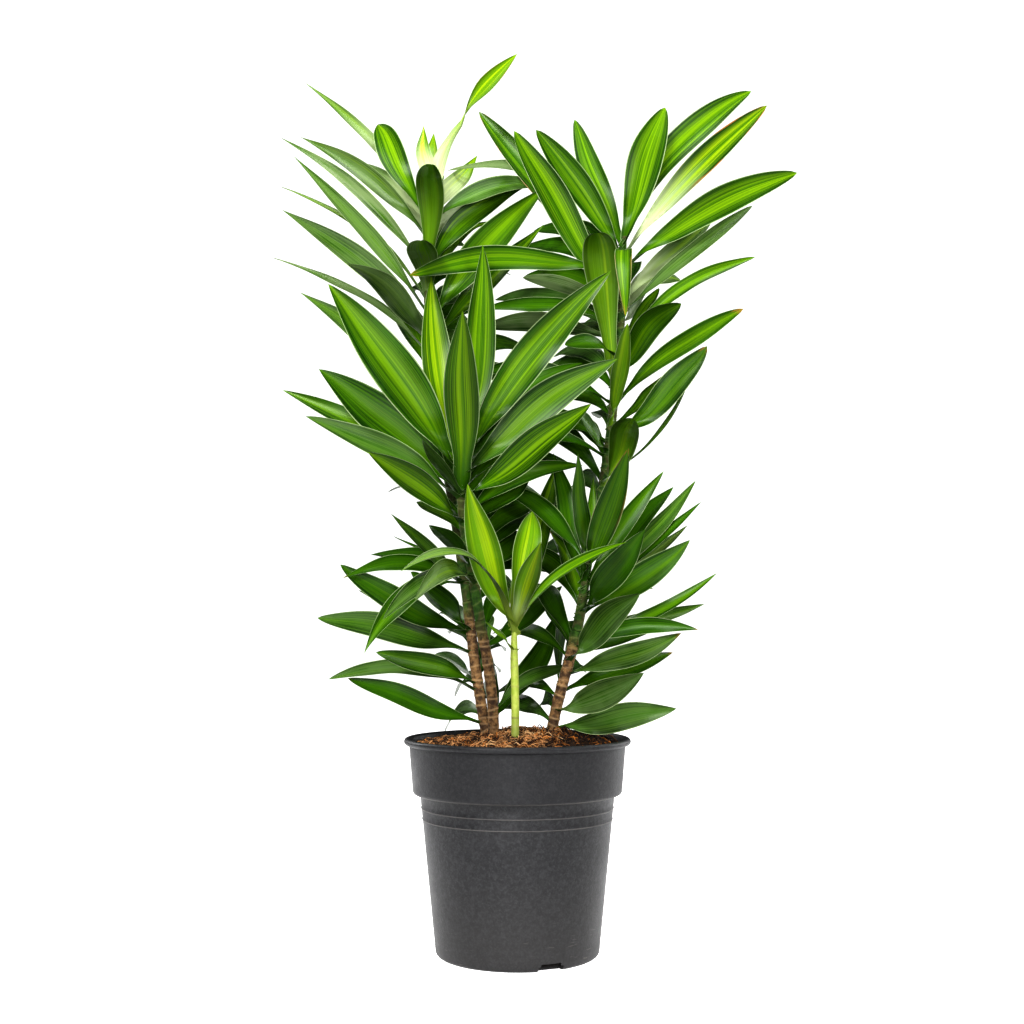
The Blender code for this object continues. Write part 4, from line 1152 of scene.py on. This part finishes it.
class Surface:
    """A material whose nodes are added and joined by short calls."""

    def __init__(self, name):
        self.material = bpy.data.materials.new(name)
        self.material.use_nodes = True
        self.tree = self.material.node_tree
        self.shader = self.tree.nodes["Principled BSDF"]
        self.output = self.tree.nodes["Material Output"]

    def node(self, kind, inputs=None, **settings):
        item = self.tree.nodes.new(kind)
        for key, value in settings.items():
            setattr(item, key, value)
        for key, value in (inputs or {}).items():
            self.put(item.inputs[key], value)
        return item

    def put(self, socket, value):
        if isinstance(value, Field):
            self.tree.links.new(value.socket, socket)
        elif isinstance(value, tuple) and len(value) == 3 and socket.type == "RGBA":
            socket.default_value = (*value, 1.0)
        else:
            socket.default_value = value

    def field(self, kind, inputs=None, output=0, **settings):
        return Field(self, self.node(kind, inputs, **settings).outputs[output])

    def split(self, kind, value):
        """The three parts of a colour or a place."""
        return [Field(self, part) for part in self.node(kind, {0: value}).outputs]

    def attribute(self, name):
        """The four values that a mesh carries under this name."""
        item = self.node("ShaderNodeAttribute", attribute_name=name)
        parts = self.split("ShaderNodeSeparateColor", Field(self, item.outputs["Color"]))
        return *parts, Field(self, item.outputs["Alpha"])

    def math(self, operation, first, second=0.0, clamp=False):
        return self.field("ShaderNodeMath", {0: first, 1: second}, operation=operation, use_clamp=clamp)

    def larger(self, first, second):
        return self.math("MAXIMUM", first, second)

    def mix(self, share, first, second):
        inputs = {"Factor": share, 6: first, 7: second}
        return self.field("ShaderNodeMix", inputs, output=2, data_type="RGBA")

    def coats(self, colour, *layers):
        """A colour with others laid over it in turn, each by its share."""
        for share, coat in layers:
            colour = self.mix(share, colour, coat)
        return colour

    def noise(self, vector, scale, detail=2.0, roughness=0.5):
        inputs = {"Vector": vector, "Scale": scale, "Detail": detail, "Roughness": roughness}
        return self.field("ShaderNodeTexNoise", inputs)

    def place(self):
        """The place on the object, in metres."""
        return self.field("ShaderNodeTexCoord", output="Object")

    def bump(self, height, strength, distance):
        inputs = {"Strength": strength, "Distance": distance, "Height": height}
        self.put(self.shader.inputs["Normal"], self.field("ShaderNodeBump", inputs))

    def finish(self, colour, roughness, specular=0.5):
        self.put(self.shader.inputs["Base Color"], colour)
        self.put(self.shader.inputs["Roughness"], roughness)
        self.put(self.shader.inputs["Specular IOR Level"], specular)


DARK_GREEN = (0.011, 0.052, 0.0012)
MID_GREEN = (0.058, 0.190, 0.003)
LIME = (0.250, 0.480, 0.006)
YELLOW_LIME = (0.50, 0.66, 0.012)
# Whitened lower half: real bleaching, and painted light on the pale and sunlit looks
BLEACH_AND_PAINTED_LIGHT = (0.74, 0.82, 0.50)
# Painted sheen: a whitish veil standing in for the leaves' gloss
PAINTED_SHEEN = (0.24, 0.33, 0.14)
UNDER_GREEN = (0.040, 0.125, 0.007)
EDGE_PALE = (0.58, 0.70, 0.38)
FRESH = (0.42, 0.54, 0.08)
DRY = (0.52, 0.25, 0.06)
SEED_SHIFT = 83.0
PATCH_SHIFT = 31.0
LEAF_GLOW = 0.25


def leaf_material():
    """Striped leaf: green margins, lime stripes along the middle, pale edge line, greyer underside."""
    surface = Surface("leaf")
    across, along, seed, under = surface.attribute("blade")
    lime, yellow, tip, edge = surface.attribute("look")
    silver, washed, fresh, _ = surface.attribute("sheen")
    shift = seed * SEED_SHIFT

    def drawn_out(crossways, lengthways):
        """Noise with so much change across the blade and along it."""
        vector = {0: across * crossways + shift, 1: along * lengthways, 2: shift}
        return surface.noise(surface.field("ShaderNodeCombineXYZ", vector), 1.0, 1.0)

    bands = drawn_out(4.5, 0.4)
    stripes = drawn_out(17.0, 0.6)
    fine = drawn_out(52.0, 0.8).step(0.40, 0.60)
    vector = {0: across * 1.2, 1: along * 3.5, 2: shift + PATCH_SHIFT}
    patch = surface.noise(surface.field("ShaderNodeCombineXYZ", vector), 1.0, 2.0)
    off = abs(across * 2.0 - 1.0)
    wander = bands - 0.5
    streaks = (bands * 0.62 + stripes * 0.38).step(0.40, 0.60)
    young = lime.step(0.95, 1.0)

    # Green base and the lime over it, strongest along the middle and above the foot
    light = fine * 0.35 - off * 0.5 + 0.80
    green = (light + patch * 0.6).step(0.60, 1.25)
    base = surface.coats(DARK_GREEN, (green, MID_GREEN), (young * 0.30, LIME))
    bright = surface.mix(yellow * streaks.step(0.2, 0.9), LIME, YELLOW_LIME)
    strength = surface.larger(streaks * 0.66 + fine * 0.36 + 0.02, young * (fine * 0.30 + 0.40))
    strength *= (off + wander).step(0.95, 0.25) * surface.larger(along.step(0.02, 0.40), young)
    strength = surface.math("MULTIPLY", strength, lime * 1.25, clamp=True)

    # Lower half whitened, by real bleaching and, on the pale and sunlit looks, by painted light; painted
    # sheen, pale foot, dry tip and edge
    reach = along + washed * -0.6 + 0.6 + wander * 0.3
    white = washed.step(0.0, 0.3) * reach.step(0.92, 0.40) * (fine * 0.3 + 0.7)
    foot = surface.mix(young, MID_GREEN, EDGE_PALE)
    dry_tip = tip * (along + wander * 0.2).step(0.96, 1.0)
    dry_edge = edge * (off + (patch - 0.5) * 1.2).step(0.86, 0.98) * along.step(0.40, 0.65)
    colour = surface.coats(
        base,
        (strength, bright),
        (white, BLEACH_AND_PAINTED_LIGHT),
        (under * 0.55, UNDER_GREEN),
        # Painted sheen: a whitish veil in patches
        (silver * (patch + fine * 0.25).step(0.30, 0.75), PAINTED_SHEEN),
        (along.step(0.09, 0.01) * 0.4, foot),
        (off.step(0.93, 0.975) * 0.8, EDGE_PALE),
        (fresh * (along + stripes * 0.1).step(0.34, 0.12) * 0.85, FRESH),
        (surface.larger(dry_tip, dry_edge), DRY))
    surface.finish(colour, patch.spread(0.25, 0.75, 0.20, 0.32), 0.14)
    surface.bump(stripes, 0.10, 0.0003)
    glow = surface.field("ShaderNodeBsdfTranslucent", {"Color": colour})
    gloss = Field(surface, surface.shader.outputs[0])
    blend = surface.field("ShaderNodeMixShader", {0: LEAF_GLOW, 1: gloss, 2: glow})
    surface.put(surface.output.inputs[0], blend)
    return surface.material


BARK_DARK = (0.070, 0.038, 0.018)
BARK_LIGHT = (0.31, 0.180, 0.075)
BARK_KNOT = (0.045, 0.024, 0.015)
BARK_SPECK = (0.040, 0.022, 0.015)
BARK_SCAR = (0.56, 0.38, 0.20)
STEM_DARK = (0.022, 0.070, 0.006)
STEM_LIGHT = (0.060, 0.150, 0.014)
STEM_KNOT = (0.10, 0.075, 0.030)
STEM_SCAR = (0.22, 0.28, 0.08)


def cane_material():
    """Bark with pale ring scars, dark knots and specks, turning green where the crown starts."""
    surface = Surface("cane")
    scar, green, _, _ = surface.attribute("cane")
    point = surface.place()
    coarse = surface.noise(point, 230.0, 4.0, 0.6)
    fine = surface.noise(point, 800.0, 3.0, 0.6)
    knots = surface.noise(point, 95.0, 1.0, 0.4)
    bark = surface.coats(
        BARK_DARK,
        (coarse.step(0.36, 0.66), BARK_LIGHT),
        (knots.step(0.58, 0.66) * 0.75, BARK_KNOT),
        (fine.step(0.60, 0.80), BARK_SPECK),
        (scar * 0.80, BARK_SCAR))
    stem = surface.coats(
        STEM_DARK,
        (coarse.step(0.35, 0.7), STEM_LIGHT),
        (knots.step(0.48, 0.60) * 0.6, STEM_KNOT),
        (scar * 0.7, STEM_SCAR))
    surface.finish(surface.mix(green, bark, stem), 0.72, 0.25)
    surface.bump(coarse + fine * 0.5, 0.8, 0.0009)
    return surface.material


SHOOT_GREEN = (0.42, 0.53, 0.07)
SHOOT_PALE = (0.54, 0.62, 0.13)
SHOOT_FOOT = (0.27, 0.33, 0.07)
SHOOT_SCAR = (0.42, 0.38, 0.16)
SHOOT_JOINT = (0.20, 0.19, 0.05)
JOINT_HEIGHT = 0.2225


def shoot_stem_material():
    """Yellow-green stem of the young shoot, darker at its foot, with one joint line."""
    surface = Surface("shoot_stem")
    scar, _, height, _ = surface.attribute("cane")
    coarse = surface.noise(surface.place(), 190.0, 3.0, 0.6)
    colour = surface.coats(
        SHOOT_GREEN,
        (coarse.step(0.35, 0.7), SHOOT_PALE),
        (height.step(0.236, 0.204), SHOOT_FOOT),
        (scar * 0.45, SHOOT_SCAR),
        (abs(height - JOINT_HEIGHT).step(0.0014, 0.0004) * 0.6, SHOOT_JOINT))
    surface.finish(colour, 0.45, 0.4)
    surface.bump(coarse, 0.25, 0.0005)
    return surface.material


POT_DARK = (0.016, 0.016, 0.018)
POT_LIGHT = (0.029, 0.029, 0.031)
MOTTLE_LIGHT = (0.056, 0.056, 0.060)
MOTTLE_DARK = (0.008, 0.008, 0.009)
GRAIN_LIGHT = (0.075, 0.075, 0.078)
GRAIN_DARK = (0.010, 0.010, 0.011)
COLLAR_PAINTED_SHADE = (0.008, 0.008, 0.010)
PAINTED_EDGE_HIGHLIGHT = (0.20, 0.19, 0.18)
DUSTY_FOOT = (0.075, 0.072, 0.070)
SCUFF = (0.19, 0.18, 0.165)
# Height and half-height of the painted highlight lines, where light catches the collar's foot and the
# rings, in mm
PAINTED_HIGHLIGHT_LINES = ((COLLAR_FOOT - 2.6, 1.1), (RING_HEIGHTS[0], 0.8), (RING_HEIGHTS[1], 0.8))


def pot_material():
    """Charcoal polypropylene: mottling, fine grain, painted highlight lines on the collar's foot and rings,
    painted shade on the collar, and a few scuffs low down.
    """
    surface = Surface("pot_plastic")
    point = surface.place()
    height = surface.split("ShaderNodeSeparateXYZ", point)[2] * (1.0 / MM)
    cloud = surface.noise(point, 34.0, 5.0, 0.65)
    mottle = surface.noise(point, 240.0, 4.0, 0.7)
    grain = surface.noise(point, 560.0, 3.0, 0.6)
    flattened = surface.field("ShaderNodeMapping", {0: point, 3: (60.0, 60.0, 420.0)})
    scratches = surface.noise(flattened, 1.0, 2.0, 0.6)
    painted_highlight = 0.0
    for middle, half in PAINTED_HIGHLIGHT_LINES:
        painted_highlight = surface.larger(painted_highlight, abs(height - middle).step(half, half * 0.3))
    colour = surface.coats(
        POT_DARK,
        (cloud.step(0.3, 0.7), POT_LIGHT),
        (mottle.step(0.44, 0.66) * 0.70, MOTTLE_LIGHT),
        (mottle.step(0.46, 0.30) * 0.60, MOTTLE_DARK),
        (grain.step(0.50, 0.70) * 0.45, GRAIN_LIGHT),
        (grain.step(0.46, 0.30) * 0.45, GRAIN_DARK),
        # Painted shade: the collar darker above its foot
        (height.step(COLLAR_FOOT - 4.0, COLLAR_FOOT - 2.0) * 0.50, COLLAR_PAINTED_SHADE),
        # Painted highlights along the collar's foot and the rings
        (painted_highlight * (cloud * 0.8 + 0.2), PAINTED_EDGE_HIGHLIGHT),
        (height.step(110.0, 5.0) * 0.42, DUSTY_FOOT),
        (scratches.step(0.66, 0.74) * height.step(60.0, 8.0) * 0.5, SCUFF))
    surface.finish(colour, cloud.spread(0.2, 0.8, 0.38, 0.56), 0.30)
    surface.bump(grain + mottle * 1.2, 0.4, 0.0005)
    return surface.material


COIR_GAP_SHADE = (0.008, 0.004, 0.003)
COIR_BROWN = (0.13, 0.052, 0.022)
COIR_LIGHT = (0.38, 0.16, 0.06)
COIR_PAINTED_SHADE = (0.006, 0.004, 0.003)


def coir_material():
    """Packed coir: brown crumbs with painted shade in the gaps between them, painted shadow of the leaves
    on the right side, and painted shade deep in the pot.
    """
    surface = Surface("coir")
    point = surface.place()
    coarse = surface.noise(point, 190.0, 5.0, 0.7)
    fine = surface.noise(point, 700.0, 4.0, 0.7)
    across, _, height = surface.split("ShaderNodeSeparateXYZ", point)
    colour = surface.coats(
        # Painted shade: near black in the gaps between the crumbs
        COIR_GAP_SHADE,
        (coarse.step(0.38, 0.66), COIR_BROWN),
        (fine.step(0.54, 0.72) * 0.5, COIR_LIGHT),
        # Painted shade: the right side, where the leaves shadow it, and the coir deep in the pot
        (surface.larger(across.step(0.02, 0.055) * 0.6, height.step(0.15, 0.05)), COIR_PAINTED_SHADE))
    surface.finish(colour, 0.95, 0.2)
    surface.bump(coarse + fine, 1.0, 0.002)
    return surface.material


FIBRE_DARK = (0.018, 0.008, 0.004)
FIBRE_LIGHT = (0.68, 0.36, 0.15)
FIBRE_RUST = (0.52, 0.19, 0.03)
FIBRE_PALE = (0.72, 0.50, 0.27)


def fibre_material():
    """Loose strands, each in its own tone from dark brown to straw."""
    surface = Surface("coir_fibre")
    light, hue, pale, _ = surface.attribute("tone")
    colour = surface.coats(
        FIBRE_DARK,
        (light.step(0.30, 0.95), FIBRE_LIGHT),
        (hue.step(0.75, 1.0) * 0.8, FIBRE_RUST),
        (pale * 0.75, FIBRE_PALE))
    surface.finish(colour, 0.85, 0.3)
    return surface.material


# Stage

FLOOR_HALF = 6.0
FLOOR_WHITE = (0.9, 0.9, 0.9)
FLOOR_GLOW = 0.92
EXPOSURE = 0.32
GAMMA = 0.78
AMBIENT = 0.045
CLIP_END = 50.0
# Soft lights, in metres and watts; all look at the plant's middle
LIGHT_AIM = Vector((0.0, 0.0, 0.45))
Lamp = namedtuple("Lamp", "name place width height power")
LAMPS = (
    Lamp("key", (-1.1, -1.7, 1.9), 0.8, 0.8, 56.0),
    Lamp("fill", (1.6, -1.3, 1.2), 0.7, 1.2, 24.0),
    Lamp("top", (0.1, -0.3, 2.3), 1.0, 1.0, 24.0),
    Lamp("front", (-0.3, -2.4, 0.5), 1.2, 0.9, 22.0),
    Lamp("back_left", (-1.4, 1.2, 1.2), 0.9, 1.4, 24.0),
    Lamp("back_right", (1.5, 1.1, 1.0), 0.9, 1.4, 24.0),
)


def make_stage():
    """A plain pale floor that throws no diffuse light back."""
    shape = bmesh.new()
    bmesh.ops.create_grid(shape, x_segments=1, y_segments=1, size=FLOOR_HALF)
    floor = link("floor", mesh_from(shape, "floor"))
    surface = Surface("floor")
    surface.finish(FLOOR_WHITE, 0.9, 0.1)
    surface.put(surface.shader.inputs["Emission Color"], (1.0, 1.0, 1.0))
    surface.put(surface.shader.inputs["Emission Strength"], FLOOR_GLOW)
    floor.data.materials.append(surface.material)
    floor.visible_diffuse = False


def make_world():
    """White behind the plant, and a little light all round."""
    world = bpy.data.worlds.new("studio")
    bpy.context.scene.world = world
    world.use_nodes = True
    nodes, links = world.node_tree.nodes, world.node_tree.links
    background = nodes["Background"]
    background.inputs["Color"].default_value = (1.0, 1.0, 1.0, 1.0)
    ray = nodes.new("ShaderNodeLightPath")
    strength = nodes.new("ShaderNodeMapRange")
    strength.inputs["To Min"].default_value = AMBIENT
    strength.inputs["To Max"].default_value = 1.0
    links.new(ray.outputs["Is Camera Ray"], strength.inputs["Value"])
    links.new(strength.outputs["Result"], background.inputs["Strength"])


def make_lights():
    for lamp in LAMPS:
        light = bpy.data.lights.new(lamp.name, "AREA")
        light.shape = "RECTANGLE"
        light.size = lamp.width
        light.size_y = lamp.height
        light.energy = lamp.power
        item = link(lamp.name, light)
        item.location = lamp.place
        item.rotation_euler = (LIGHT_AIM - Vector(lamp.place)).to_track_quat("-Z", "Y").to_euler()
        item.visible_camera = False


def make_camera():
    camera = link("camera", bpy.data.cameras.new("camera"))
    camera.location = EYE * MM
    camera.rotation_euler = (math.radians(90.0) + PITCH, 0.0, 0.0)
    camera.data.sensor_width = SENSOR
    camera.data.lens = SENSOR * FOCAL_PIXELS / FRAME_PIXELS
    camera.data.clip_end = CLIP_END
    bpy.context.scene.camera = camera


def main():
    make_camera()
    make_world()
    make_lights()
    make_stage()
    view = bpy.context.scene.view_settings
    view.view_transform = "Standard"
    view.exposure = EXPOSURE
    view.gamma = GAMMA
    packed = PackedLeaves(frame["nodes"])
    found = find_front_leaves(packed) + find_rear_leaves(packed)
    print("leaves found:", len(found))
    make_leaves(found, leaf_material())
    make_canes(cane_material(), shoot_stem_material())
    make_pot(pot_material())
    make_soil(coir_material())
    make_fibres(fibre_material())


main()
